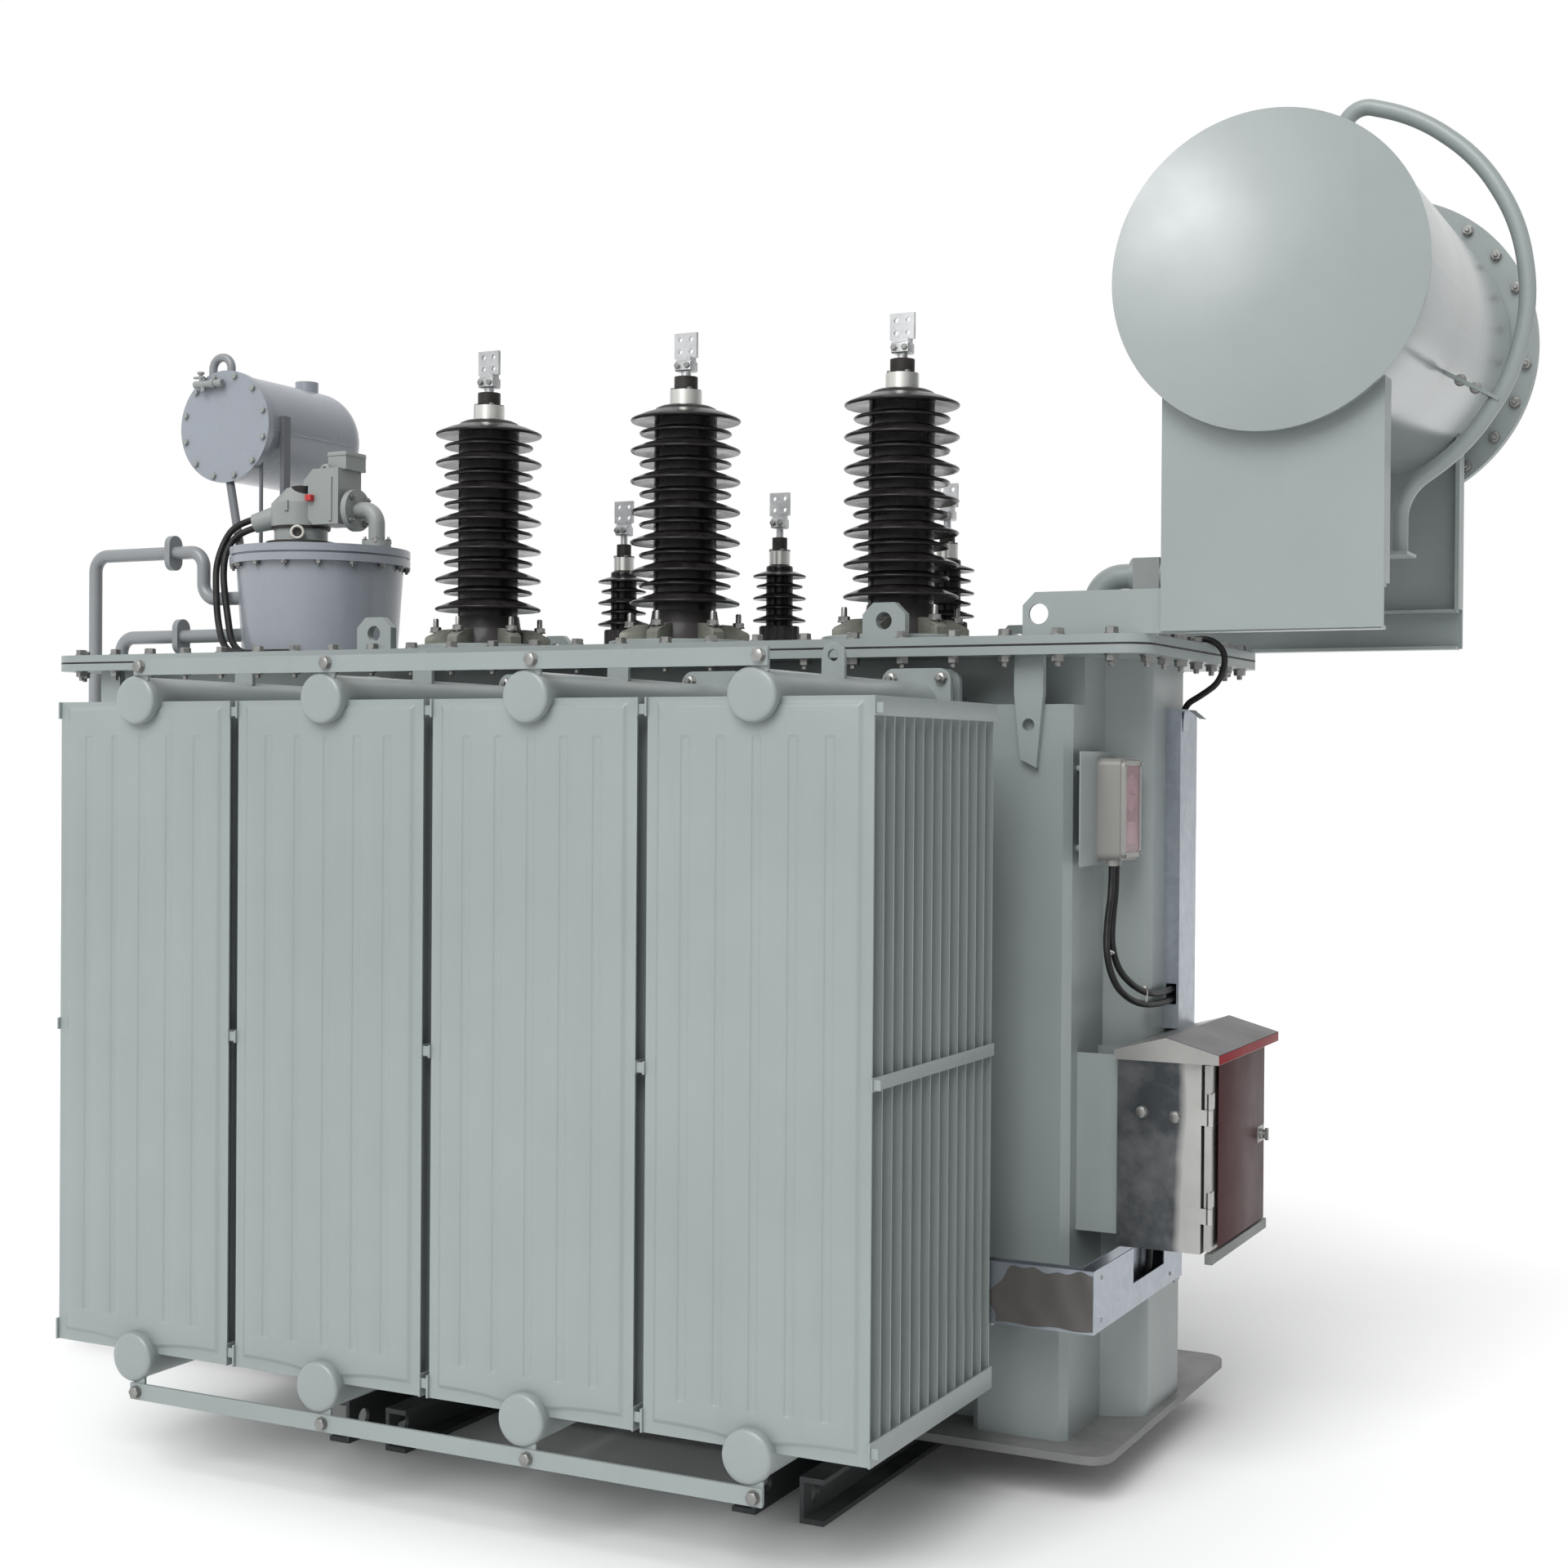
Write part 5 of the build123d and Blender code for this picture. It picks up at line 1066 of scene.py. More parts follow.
    def bolts(self) -> None:
        """The bolts through the tie bars, and those at the corners of the valves' square flanges."""
        bolt = hex_head(0.024, 0.013).turned(Axis.TOWARDS_FRONT.matrix)
        nut = nut_and_stud(0.024, 0.013).turned(Axis.TOWARDS_FRONT.matrix)
        made = []
        for side, count in self.banks:
            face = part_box("tie_bars")[0].y if side == "front" else -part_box("tie_bars")[1].y
            for number in range(1, count + 1):
                x = middle_x(f"radiator_{side}_{number}")
                ties = [(x + 0.020, face, z) for z in self.tie_levels]
                corners = [(x + dx, self.flange_face, z + dz) for z in self.flange_levels
                           for dx in self.flange_corners for dz in self.flange_corners]
                pair = joined([copies(bolt, np.array(ties)), copies(nut, np.array(corners))])
                made.append(pair if side == "front" else pair.mirrored_y())
        make_piece("radiator_bolts", joined(made), PLATED)


@dataclass
class FlangeBolts:
    """The bolts round the cover, their heads above and their nuts below the tank's rim."""

    pitch: float = 0.129
    inset: float = 0.030
    across: float = 0.027
    height: float = 0.017
    corner_x: float = 0.06
    corner_y: float = 0.075
    rim: float = 0.025
    twist: float = 2.4

    def spaced(self, low: float, high: float, corner: float) -> Array:
        """Even places between two ends, set in by a corner's gap and about one pitch apart."""
        return np.linspace(low + corner, high - corner, round((high - low - 2 * corner) / self.pitch) + 1)

    def places(self) -> Array:
        """Places along a rectangle set in from the rim, evenly spaced on each side.

        Returns:
            (n, 2) places in X and Y.
        """
        low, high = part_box("cover_plate")
        x0, x1, y0, y1 = low.x + self.inset, high.x - self.inset, low.y + self.inset, high.y - self.inset
        along, across = self.spaced(x0, x1, self.corner_x), self.spaced(y0, y1, self.corner_y)
        sides = [np.stack([along, np.full_like(along, y)], -1) for y in (y0, y1)]
        ends = [np.stack([np.full_like(across, x), across], -1) for x in (x0, x1)]
        return np.concatenate(sides + ends)

    def build(self) -> None:
        """Heads above, nuts and stud ends below, each turned its own way."""
        plan = self.places()
        turns = spin_z(np.arange(len(plan)) * self.twist)
        low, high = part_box("cover_plate")
        head = hex_head(self.across, self.height)
        nut = nut_and_stud(self.across, self.height).turned(Axis.DOWN.matrix)
        pairs = ((head, high.z), (nut, low.z - self.rim))
        made = [copies(one, np.column_stack([plan, np.full(len(plan), z)]), turns) for one, z in pairs]
        make_piece("cover_bolts", joined(made), PLATED)


@dataclass(frozen=True)
class Porcelain:
    """One size of porcelain, with its large and small sheds by turns."""

    first: float
    pitch: float
    count: int
    core: float
    big: float
    small: float
    foot: float
    head: float
    rim: float

    def shed(self, z: float, reach: float) -> Profile:
        """A shed at a height: a hollow underside, a round rim and a sloping top, as shares of its size.

        Args:
            z: its height at the core.
            reach: its radius.

        Returns:
            Radius and height pairs, from the lower side up.
        """
        span = reach - self.core
        drop = span * 0.26
        under, over = ((0, -0.62), (0.05, -0.58), (0.30, -0.66)), ((0.45, 0.32), (0.12, 0.72), (0, 0.92))
        edge = ((1.1, 0.05), (0.35, 0), (0.06, 0.3), (0, 0.55), (0.12, 0.85), (0.6, 1.15))
        return [*((self.core + out * span, z + up * drop) for out, up in under),
                *((reach - back * self.rim, z - drop + up * self.rim) for back, up in edge),
                *((self.core + out * span, z + up * drop) for out, up in over)]

    def profile(self) -> Profile:
        """The whole porcelain, from its foot to its rounded head.

        Returns:
            Radius and height pairs.
        """
        profile = [(0, self.foot), (self.core, self.foot)]
        for k in range(self.count):
            profile += self.shed(self.first + self.pitch * k, (self.big, self.small)[k % 2])
        shoulder = ((1, 0.22), (0.96, 0.12), (0.8, 0.05), (0.45, 0.01), (0.45, 0), (0, 0))
        return profile + [(self.core * out, self.head - self.core * down) for out, down in shoulder]


@dataclass
class Bushings:
    """Three tall and three small porcelain bushings."""

    tall_x: tuple[float, ...] = (-0.587, 0.033, 0.653)
    tall_y: float = -0.235
    low_x: tuple[float, ...] = (-0.427, 0.080, 0.587)
    low_y: float = 0.225
    tall: Porcelain = Porcelain(first=2.135, pitch=0.040, count=13, core=0.0825, big=0.145, small=0.1215,
                                foot=2.103, head=2.644, rim=0.008)
    low: Porcelain = Porcelain(first=2.112, pitch=0.031, count=5, core=0.0375, big=0.0745, small=0.0655,
                               foot=2.090, head=2.262, rim=0.006)

    def tall_row(self, profile: Profile, segments: int = 72) -> Shape:
        """A turned piece on each tall bushing."""
        return joined([lathe(profile, (x, self.tall_y, 0), segments=segments) for x in self.tall_x])

    def low_row(self, profile: Profile) -> Shape:
        """A turned piece on each small bushing."""
        return joined([lathe(profile, (x, self.low_y, 0), segments=56) for x in self.low_x])

    def foot(self, radius: float, low: float, high: float, flutes: int, depth: float) -> Shape:
        """A fluted foot: the radius is r + d cos(n a) all round, drawn in at the top.

        Args:
            radius: its mean radius.
            low: its lower end.
            high: its upper end.
            flutes: how many flutes there are.
            depth: half the depth of a flute.

        Returns:
            The closed foot, on the Z axis.
        """
        angle = np.arange(120) * TAU / 120
        rows = np.array([(0, low), (1, low), (1, high - 0.006), (0.985, high - 0.001), (0.97, high),
                         (0, high)])
        reach = rows[:, :1] * (radius + depth * np.cos(flutes * angle))
        points = np.stack([reach * np.cos(angle), reach * np.sin(angle), rows[:, 1:] + 0 * angle], -1)
        return grid(points, close_columns=True)

    def clamps(self) -> tuple[Shape, Shape]:
        """The cast clamps that hold a tall bushing down, and the stud with its nut on each.

        Returns:
            The six clamps and their six studs, round the Z axis.
        """
        section = np.array([(0.086, 0.016), (0.171, 0.016), (0.171, 0.036), (0.166, 0.042), (0.126, 0.061),
                            (0.098, 0.063), (0.088, 0.060)])
        middle = section.mean(0)
        inner = middle + 0.92 * (section - middle)
        point = inner * 0 + middle
        face, edge = 0.0175, 0.0155
        rings = [(point, -face), (inner, -face), (section, -edge), (section, edge), (inner, face),
                 (point, face)]
        arm = grid(layers(rings, 1), close_columns=True)
        stud = [(0, 0.010), (0.0075, 0.010), (0.0075, 0.088), (0.006, 0.092), (0, 0.092)]
        nut = joined([hex_head(0.026, 0.015).moved((0, 0, 0.054)), lathe(stud, segments=10)])
        turns = spin_z(around(6, 30))
        places = np.zeros((6, 3))
        return copies(arm, places, turns), copies(nut.moved((0.142, 0, 0)), places, turns)

    def terminal_bolts(self) -> None:
        """The split clamp under each terminal pad with its two bolts, and the bolts round the caps."""
        made, blocks = [], []
        screw = hex_head(0.013, 0.008).turned(Axis.TOWARDS_FRONT.matrix)
        for xs, y, cap, pad, wide, radius in ((self.tall_x, self.tall_y, 2.662, 2.768, 0.024, 0.042),
                                              (self.low_x, self.low_y, 2.280, 2.400, 0.019, 0.029)):
            for x in xs:
                low, high = (x - wide, y - 0.021, pad - 0.036), (x + wide, y + 0.021, pad - 0.008)
                blocks.append(bar(low, high, 0.003))
                for side in (-0.6, 0.6):
                    made.append(screw.moved((x + side * wide, y - 0.021, pad - 0.022)))
                place = (x, y, cap + 0.019)
                made.append(bolt_ring(hex_head(0.012, 0.007), place, Axis.Z, radius * 0.82, around(4, 45)))
        make_piece("terminal_clamps", joined(blocks), TINNED)
        make_piece("terminal_bolts", joined(made), PLATED)

    def build(self) -> None:
        """The porcelains, feet, flanges and clamps, in place of their CAD nodes."""
        make_piece("hv_porcelain_sheds", self.tall_row(self.tall.profile()), PORCELAIN, crease=60,
                   stands_for=["hv_porcelains"])
        make_piece("lv_porcelain_sheds", self.low_row(self.low.profile()), PORCELAIN, crease=60,
                   stands_for=["lv_porcelains"])
        neck = [(0, 2.006), (0.098, 2.006), (0.098, 2.060), (0.090, 2.072), (0.085, 2.103), (0, 2.103)]
        make_piece("hv_feet", self.tall_row(neck, 64), FOOT, stands_for=["hv_bases"])
        flange = [(0, COVER_TOP), (0.198, COVER_TOP), (0.198, 2.0195), (0.1965, 2.021), (0, 2.021)]
        make_piece("hv_flanges", self.tall_row(flange), TANK, stands_for=["hv_bases"])
        arms, studs = self.clamps()
        places = np.array([(x, self.tall_y, COVER_TOP) for x in self.tall_x])
        make_piece("hv_clamps", copies(arms, places), CLAMP, stands_for=["hv_bases"])
        make_piece("hv_clamp_studs", copies(studs, places), PLATED)
        foot = self.foot(0.0545, 2.006, 2.090, 14, 0.0016)
        places = np.array([(x, self.low_y, 0) for x in self.low_x])
        make_piece("lv_feet", copies(foot, places), FOOT, stands_for=["lv_bases"])
        flange = [(0, COVER_TOP), (0.095, COVER_TOP), (0.095, 2.0158), (0.0938, 2.017), (0, 2.017)]
        make_piece("lv_flanges", self.low_row(flange), TANK, stands_for=["lv_bases"])
        nut = nut_and_stud(0.019, 0.011)
        nuts = [bolt_ring(nut, (x, self.low_y, 2.017), Axis.Z, 0.077, around(4, 45)) for x in self.low_x]
        make_piece("lv_flange_nuts", joined(nuts), PLATED)
        self.terminal_bolts()


@dataclass
class TapChanger:
    """What is fitted to the tap changer: nuts, sight glass, dial, elbow and gearbox details."""

    axis: tuple[float, float] = (-1.350, 0.0)
    head: tuple[float, float] = (-1.408, -0.020)
    lid_top: float = 2.335
    lid_bottom: float = 2.285
    lid_bolts: int = 16
    lid_circle: float = 0.2545
    foot_circle: float = 0.2405
    foot_angles: tuple[float, ...] = (-129, -47, -26, 4, 34, 64, 94, 124, 154, 184, 214)
    ear_angles: tuple[float, ...] = (-170.0, -110.0, -10.0, 70.0)
    sight_angle: float = -58.0
    sight_level: float = 2.3825
    sight_reach: float = 0.082

    def lid_nuts(self) -> Shape:
        """Nuts with their stud ends under the lid, and the one lifting screw on it.

        Returns:
            Nuts and screw as one shape.
        """
        centre, angles = (*self.axis, self.lid_bottom), around(self.lid_bolts, 8)
        ring = bolt_ring(nut_and_stud(0.018, 0.010), centre, Axis.DOWN, self.lid_circle, angles)
        screw = hex_head(0.020, 0.016).moved((self.axis[0] - 0.222, self.axis[1] - 0.105, self.lid_top))
        return joined([ring, screw])

    def foot_bolts(self) -> Shape:
        """Screws through the drum's foot, where no cable lies."""
        nut, centre = nut_and_stud(0.016, 0.010), (*self.axis, COVER_TOP)
        return bolt_ring(nut, centre, Axis.Z, self.foot_circle, np.radians(self.foot_angles))

    def sight_glass(self) -> tuple[Shape, Shape]:
        """The round glass on the neck: a cream ring, thick as a torus, and a dark disc behind it.

        Returns:
            The ring and the disc.
        """
        ring = torus(0.0175, 0.012, 0.0042, 0.0045, 20, 40)
        disc = [(0, 0.0), (0.0165, 0.0), (0.0165, 0.010), (0.010, 0.0125), (0.006, 0.0105), (0, 0.0105)]
        turn = spin_z(np.radians([self.sight_angle]))[0] @ Axis.X.matrix
        way = turn @ np.array([0, 0, 1.0])
        place = np.array([*self.head, self.sight_level]) + way * self.sight_reach
        return ring.turned(turn).moved(place), lathe(disc, segments=32).turned(turn).moved(place)

    def rims(self) -> Shape:
        """The dark seal under the dome's skirt and the seam over the foot ring.

        Returns:
            Both rings as one shape.
        """
        seal = [(0.0785, 2.397), (0.0866, 2.397), (0.0874, 2.401), (0.0874, 2.4048), (0.0785, 2.4048),
                (0.0785, 2.397)]
        seam = [(0.097, 2.3545), (0.1026, 2.3545), (0.1034, 2.357), (0.1026, 2.3595), (0.097, 2.3595),
                (0.097, 2.3545)]
        return joined([lathe(rows, (*self.head, 0), segments=72) for rows in (seal, seam)])

    def elbow_bolts(self) -> Shape:
        """Nuts on the elbow's bell, and those on the flange of its foot.

        Returns:
            All the nuts as one shape.
        """
        bell = bolt_ring(nut_and_stud(0.017, 0.010), (-1.196, -0.020, 2.447), Axis.X, 0.049, around(4, 40))
        foot = bolt_ring(nut_and_stud(0.016, 0.012), (-1.128, -0.020, 2.347), Axis.Z, 0.034, around(4, 30))
        return joined([bell, foot])

    def casting(self) -> Shape:
        """The lid's rim, the upright rib and the lug of the gearbox, and the ears of the dome.

        Returns:
            All of them as one shape.
        """
        rim = bar((-1.2835, -0.0575, 2.6045), (-1.2130, 0.0425, 2.6195), 0.004)
        under = bar((-1.2825, -0.0565, 2.566), (-1.2140, 0.0415, 2.574), 0.002)
        rib = bar((-1.2600, -0.0795, 2.412), (-1.2500, -0.0740, 2.545), 0.002)
        lug = torus(0.0125, 0, 0.0052, 0.0052, 12, 24)
        lug = lug.turned(Axis.TOWARDS_FRONT.matrix).moved((-1.279, -0.070, 2.566))
        ear = bar((-0.006, 0.084, 2.445), (0.006, 0.0935, 2.478), 0.002)
        ears = [ear.turned(turn).moved((*self.head, 0)) for turn in spin_z(np.radians(self.ear_angles))]
        return joined([rim, under, rib, lug, *ears])

    def build(self) -> None:
        """All of it, each in its own finish."""
        nuts = joined([self.lid_nuts(), self.foot_bolts(), self.elbow_bolts()])
        make_piece("tap_changer_nuts", nuts, PLATED)
        ring, glass = self.sight_glass()
        make_piece("sight_glass_ring", ring, IVORY)
        make_piece("sight_glass", glass, NITRILE)
        make_piece("dome_seals", self.rims(), NITRILE)
        make_piece("gearbox_ribs", self.casting(), CAST)
        x, y = self.head
        dial = [(0, 2.500), (0.040, 2.500), (0.040, 2.5225), (0.037, 2.5245), (0, 2.5245)]
        make_piece("position_dial", lathe(dial, (x + 0.022, y - 0.012, 0)), NITRILE)
        wedge = bar((x + 0.070, y - 0.072, 2.474), (x + 0.092, y - 0.030, 2.493), 0.002)
        make_piece("drag_hand_reset", wedge, SIGNAL_RED)


@dataclass
class Conservators:
    """Bolts and small fittings of both conservators."""

    small_axis: tuple[float, float] = (-1.722, 2.731)
    small_circle: float = 0.156
    small_bolts: int = 12
    small_radius: float = 0.165
    seam_angle: float = -6.0
    drum_axis: tuple[float, float] = (1.650, 2.790)
    rear_circle: float = 0.384
    rear_bolts: int = 24
    valve: tuple[float, float] = (-0.019, 2.862)
    strap_angle: float = 120.0
    strap_reaches: tuple[float, float] = (0.385, 0.425)

    def small_end(self) -> Shape:
        """Heads round the front of the small conservator's end.

        Returns:
            The heads as one shape.
        """
        x, z = self.small_axis
        angles = around(self.small_bolts, 15)
        return bolt_ring(hex_head(0.016, 0.009), (x, 0.0, z), Axis.TOWARDS_FRONT, self.small_circle, angles)

    def rear_end(self) -> Shape:
        """Nuts in front of the main conservator's rear flange and heads behind it.

        Returns:
            Nuts and heads as one shape.
        """
        x, z = self.drum_axis
        nut, angles = nut_and_stud(0.024, 0.014), around(self.rear_bolts, 7.5)
        nuts = bolt_ring(nut, (x, 0.590, z), Axis.TOWARDS_FRONT, self.rear_circle, angles)
        heads = bolt_ring(hex_head(0.024, 0.014), (x, 0.6178, z), Axis.Y, self.rear_circle, angles)
        return joined([nuts, heads])

    def vent_valve(self) -> Shape:
        """The little valve beside the vent: a barrel with its collar, a handle and a plug.

        Returns:
            Its pieces as one shape.
        """
        y, z = self.valve
        barrel = [(0, 0), (0.011, 0), (0.011, 0.064), (0.014, 0.065), (0.014, 0.078), (0.011, 0.079),
                  (0.011, 0.108), (0, 0.108)]
        stem = [(0, 0), (0.006, 0), (0.006, 0.030), (0.011, 0.032), (0.011, 0.038), (0, 0.038)]
        plug = [(0, 0), (0.008, 0), (0.008, 0.022), (0.005, 0.026), (0, 0.026)]
        grip = bar((-1.826, y - 0.006, z + 0.018), (-1.786, y + 0.006, z + 0.025), 0.002)
        return joined([lathe(barrel, (-1.823, y, z), Axis.X, 24),
                       lathe(rod(0.012, 0, 0.022), (-1.735, y + 0.022, z), Axis.TOWARDS_FRONT, 24),
                       lathe(stem, (-1.800, y, z), Axis.Z, 20), grip,
                       lathe(plug, (-1.790, y, z), Axis.DOWN, 20)])

    def seam(self) -> Shape:
        """The long weld on the small conservator's barrel, a half-round bead.

        Returns:
            The bead.
        """
        x, z = self.small_axis
        angle = math.radians(self.seam_angle)
        start = (x + self.small_radius * math.cos(angle), 0.030, z + self.small_radius * math.sin(angle))
        return pipe(np.linspace(start, (start[0], 0.422, start[2]), 12), 0.0022, 8)

    def build(self) -> None:
        """All the bolts, the valve and the weld."""
        make_piece("small_conservator_bolts", self.small_end(), CAST)
        make_piece("rear_flange_bolts", self.rear_end(), PLATED)
        make_piece("vent_valve", self.vent_valve(), CAST)
        make_piece("small_conservator_weld", self.seam(), TAP)
        x, z = self.drum_axis
        turn = math.radians(self.strap_angle)
        way = np.array([math.sin(turn), 0, math.cos(turn)])
        bolt = hex_head(0.022, 0.013).turned(Axis.TOWARDS_FRONT.matrix)
        places = [np.array([x, -0.0693, z]) + way * reach for reach in self.strap_reaches]
        make_piece("strap_bolts", copies(bolt, np.array(places)), PLATED)


@dataclass(frozen=True)
class Cable:
    """One cable from its gland to where it goes in, laid along its route."""

    node: str
    diameter: float
    length: float
    route: tuple[tuple[float, float, float], ...]

    def lay(self) -> bpy.types.Object:
        """A smooth curve in place of its CAD solid, with the route's points as control points.

        Returns:
            The new curve object.
        """
        curve = bpy.data.curves.new(f"{self.node}_sheath", "CURVE")
        curve.dimensions = "3D"
        spline = curve.splines.new("NURBS")
        points = np.column_stack([np.array(self.route) * MM, np.ones(len(self.route))])
        spline.points.add(len(points) - 1)
        spline.points.foreach_set("co", points.ravel())
        spline.order_u = 3
        spline.use_endpoint_u = True
        curve.resolution_u = 10
        curve.bevel_depth = self.diameter / 2
        curve.bevel_resolution = 4
        curve.use_fill_caps = True
        curve.materials.append(SHEATH.material())
        piece = bpy.data.objects.new(f"{self.node}_sheath", curve)
        bpy.context.scene.collection.objects.link(piece)
        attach(piece, "root")
        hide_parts(self.node)
        LOG.info("%s: %d points", piece.name, len(points))
        return piece


CABLES = (
    Cable("cable_relay", 0.016, 0.536, (
        (1240, 18, 2122), (1240, 18, 2068), (1262, 22, 2030), (1310, 32, 2016), (1368, 42, 2023),
        (1408, 50, 1984), (1391, 54, 1915), (1346, 52, 1882), (1293, 50, 1852), (1291, 50, 1785))),
    Cable("cable_thermometer_1", 0.016, 0.713, (
        (1240, -325, 1468), (1240, -325, 1406), (1247, -378, 1340), (1256, -412, 1266), (1270, -392, 1196),
        (1284, -325, 1156), (1291, -238, 1136), (1293, -148, 1129), (1294, -60, 1128), (1294, 12, 1130))),
    Cable("cable_thermometer_2", 0.016, 0.649, (
        (1240, -292, 1468), (1240, -292, 1412), (1247, -336, 1352), (1255, -370, 1285), (1268, -356, 1226),
        (1283, -296, 1186), (1291, -216, 1162), (1293, -134, 1153), (1294, -58, 1153), (1294, 14, 1155))),
    Cable("cable_tap_changer_1", 0.020, 0.786, (
        (-1547.31, -70.71, 2429.74), (-1599.05, -89.54, 2414.98), (-1627, -110, 2364), (-1631, -140, 2290),
        (-1612, -162, 2212), (-1584, -188, 2134), (-1548, -212, 2062), (-1500, -238, 2024),
        (-1422, -270, 2015.3), (-1334, -279, 2015.3), (-1250, -264, 2015.3))),
    Cable("cable_tap_changer_2", 0.020, 0.736, (
        (-1540.99, -68.41, 2404.62), (-1592.73, -87.24, 2389.87), (-1608, -124, 2332), (-1604, -140, 2264),
        (-1584, -154, 2194), (-1558, -170, 2122), (-1530, -190, 2058), (-1474, -218, 2022),
        (-1400, -243, 2015.3), (-1318, -251, 2015.3), (-1240, -236, 2015.3))),
    Cable("cable_cabinet", 0.016, 0.285, (
        (1296, -390, 455), (1294, -326, 458), (1296, -262, 456), (1296, -212, 470), (1296, -185, 517),
        (1296, -185, 572))),
)


@dataclass
class CableTies:
    """Ties that hold the thermometer's two leads together."""

    width: float = 0.004
    thick: float = 0.0012
    around_lead: float = 0.0086
    lead_spacing: float = 0.0095
    tail_radius: float = 0.0011

    def tie(self, centre: Point, ahead: Point, apart: Point, reach: float) -> Shape:
        """A flat band round two leads: an oval of half widths r + gap and r, and the tie's loose end.

        Args:
            centre: the middle of the band.
            ahead: the way the leads run.
            apart: the way from one lead to the other.
            reach: how long the loose end is.

        Returns:
            The band with its lock and its end.
        """
        half, r = self.lead_spacing, self.around_lead
        ahead = np.asarray(ahead, float) / np.linalg.norm(ahead)
        side = np.asarray(apart, float) - ahead * (np.asarray(apart, float) @ ahead)
        side /= np.linalg.norm(side)
        up = np.cross(ahead, side)
        angle = np.arange(36) * TAU / 36
        across = np.cos(angle) * r + np.sign(np.cos(angle)) * half
        line = side * across[:, None] + up * (np.sin(angle) * r)[:, None]
        out = line / np.linalg.norm(line, axis=1, keepdims=True)
        edge = self.width / 2
        rows = [(0, -edge), (self.thick, -edge), (self.thick, edge), (0, edge)]
        points = np.stack([line + out * depth + ahead * along for depth, along in rows])
        band = grid(points, close_rows=True, close_columns=True).moved(centre)
        lock = bar((-0.004, -0.003, -0.003), (0.004, 0.003, 0.003), 0.001)
        middle = np.asarray(centre)
        lock = lock.turned(np.stack([side, ahead, up], 1)).moved(middle + side * (r + half + 0.003))
        start = middle + side * (r + half + 0.004)
        steps = np.linspace(0, 1, 8)[:, None]
        drop = np.array([0, 0, -1.0]) * steps ** 1.5 * reach
        tail = pipe(start + side * steps * reach * 0.35 + drop, self.tail_radius, 8)
        return joined([band, lock, tail])

    def build(self) -> None:
        """One tie halfway down the leads and one before the duct."""
        first = self.tie((1.2556, -0.389, 1.270), (0.010, -0.02, -0.08), (0.0, 1.0, 0.1), 0.012)
        second = self.tie((1.2885, -0.225, 1.1545), (0.010, 0.09, -0.02), (0.0, 0.0, 1.0), 0.060)
        make_piece("lead_ties", joined([first, second]), IVORY)


@dataclass
class Cabinet:
    """Painted skin, strips, bolts, lock and trim of the control cabinet."""

    door_face: float = 1.503
    bolt_places: tuple[tuple[float, float], ...] = ((1.335, 0.903), (1.415, 0.897))

    def roof_sheet(self) -> Shape:
        """The sheet on the roof's right slope: four edge lines round its thin section.

        Returns:
            The sheet.
        """
        near, far = -0.4085, 0.1285
        over, under = ((1.399, 1.0822), (1.5245, 1.0478)), ((1.399, 1.0812), (1.5245, 1.0468))
        corners = ((over, near), (over, far), (under, far), (under, near))
        return grid(layers([(np.array(line), y) for line, y in corners], 1), close_rows=True)

    def lock(self) -> Shape:
        """The lock's plate, boss and wing.

        Returns:
            Its pieces as one shape.
        """
        x = self.door_face
        plate = bar((x - 0.0005, 0.012, 0.786), (x + 0.0018, 0.068, 0.826), 0.0006)
        boss = [(0, 0), (0.0125, 0), (0.0125, 0.006), (0.010, 0.009), (0.010, 0.014), (0, 0.014)]
        wing = bar((x + 0.012, 0.0375, 0.7905), (x + 0.0215, 0.0425, 0.8205), 0.001)
        return joined([plate, lathe(boss, (x, 0.040, 0.8055), Axis.X, 28), wing])

    def hasp(self) -> Shape:
        """The hasp on the cabinet's rear side: its plate, hook and tongue.

        Returns:
            Its pieces as one shape.
        """
        plate = bar((1.392, 0.1, 0.745), (1.452, 0.102, 0.842), 0.0008)
        hook = bar((1.398, 0.1015, 0.800), (1.446, 0.116, 0.836), 0.004)
        tongue = bar((1.410, 0.1015, 0.750), (1.436, 0.1115, 0.800), 0.003)
        return joined([plate, hook, tongue])

    def build(self) -> None:
        """The door's skin and lock ride on the door; the rest is fixed."""
        skin = bar((1.5024, -0.334, 0.5945), (1.5040, 0.074, 1.0165), 0.0006)
        make_piece("door_skin", skin, MAROON, body="door")
        make_piece("roof_sheet", self.roof_sheet(), ROOF)
        sill = bar((1.4860, -0.3800, 0.5640), (1.5046, 0.1000, 0.5885), 0.001)
        make_piece("door_sill", sill, SILL)
        make_piece("door_lock_wing", self.lock(), PLATED, body="door")
        trim = bar((1.5236, -0.4075, 1.0255), (1.5246, 0.1275, 1.0465), 0.0004)
        make_piece("roof_edge_trim", trim, RED_EDGE)
        bolt = hex_head(0.022, 0.010).turned(Axis.TOWARDS_FRONT.matrix)
        make_piece("cabinet_bolts", joined([bolt.moved((x, -0.380, z)) for x, z in self.bolt_places]), PLATED)
        make_piece("cabinet_hasp", self.hasp(), STEEL)


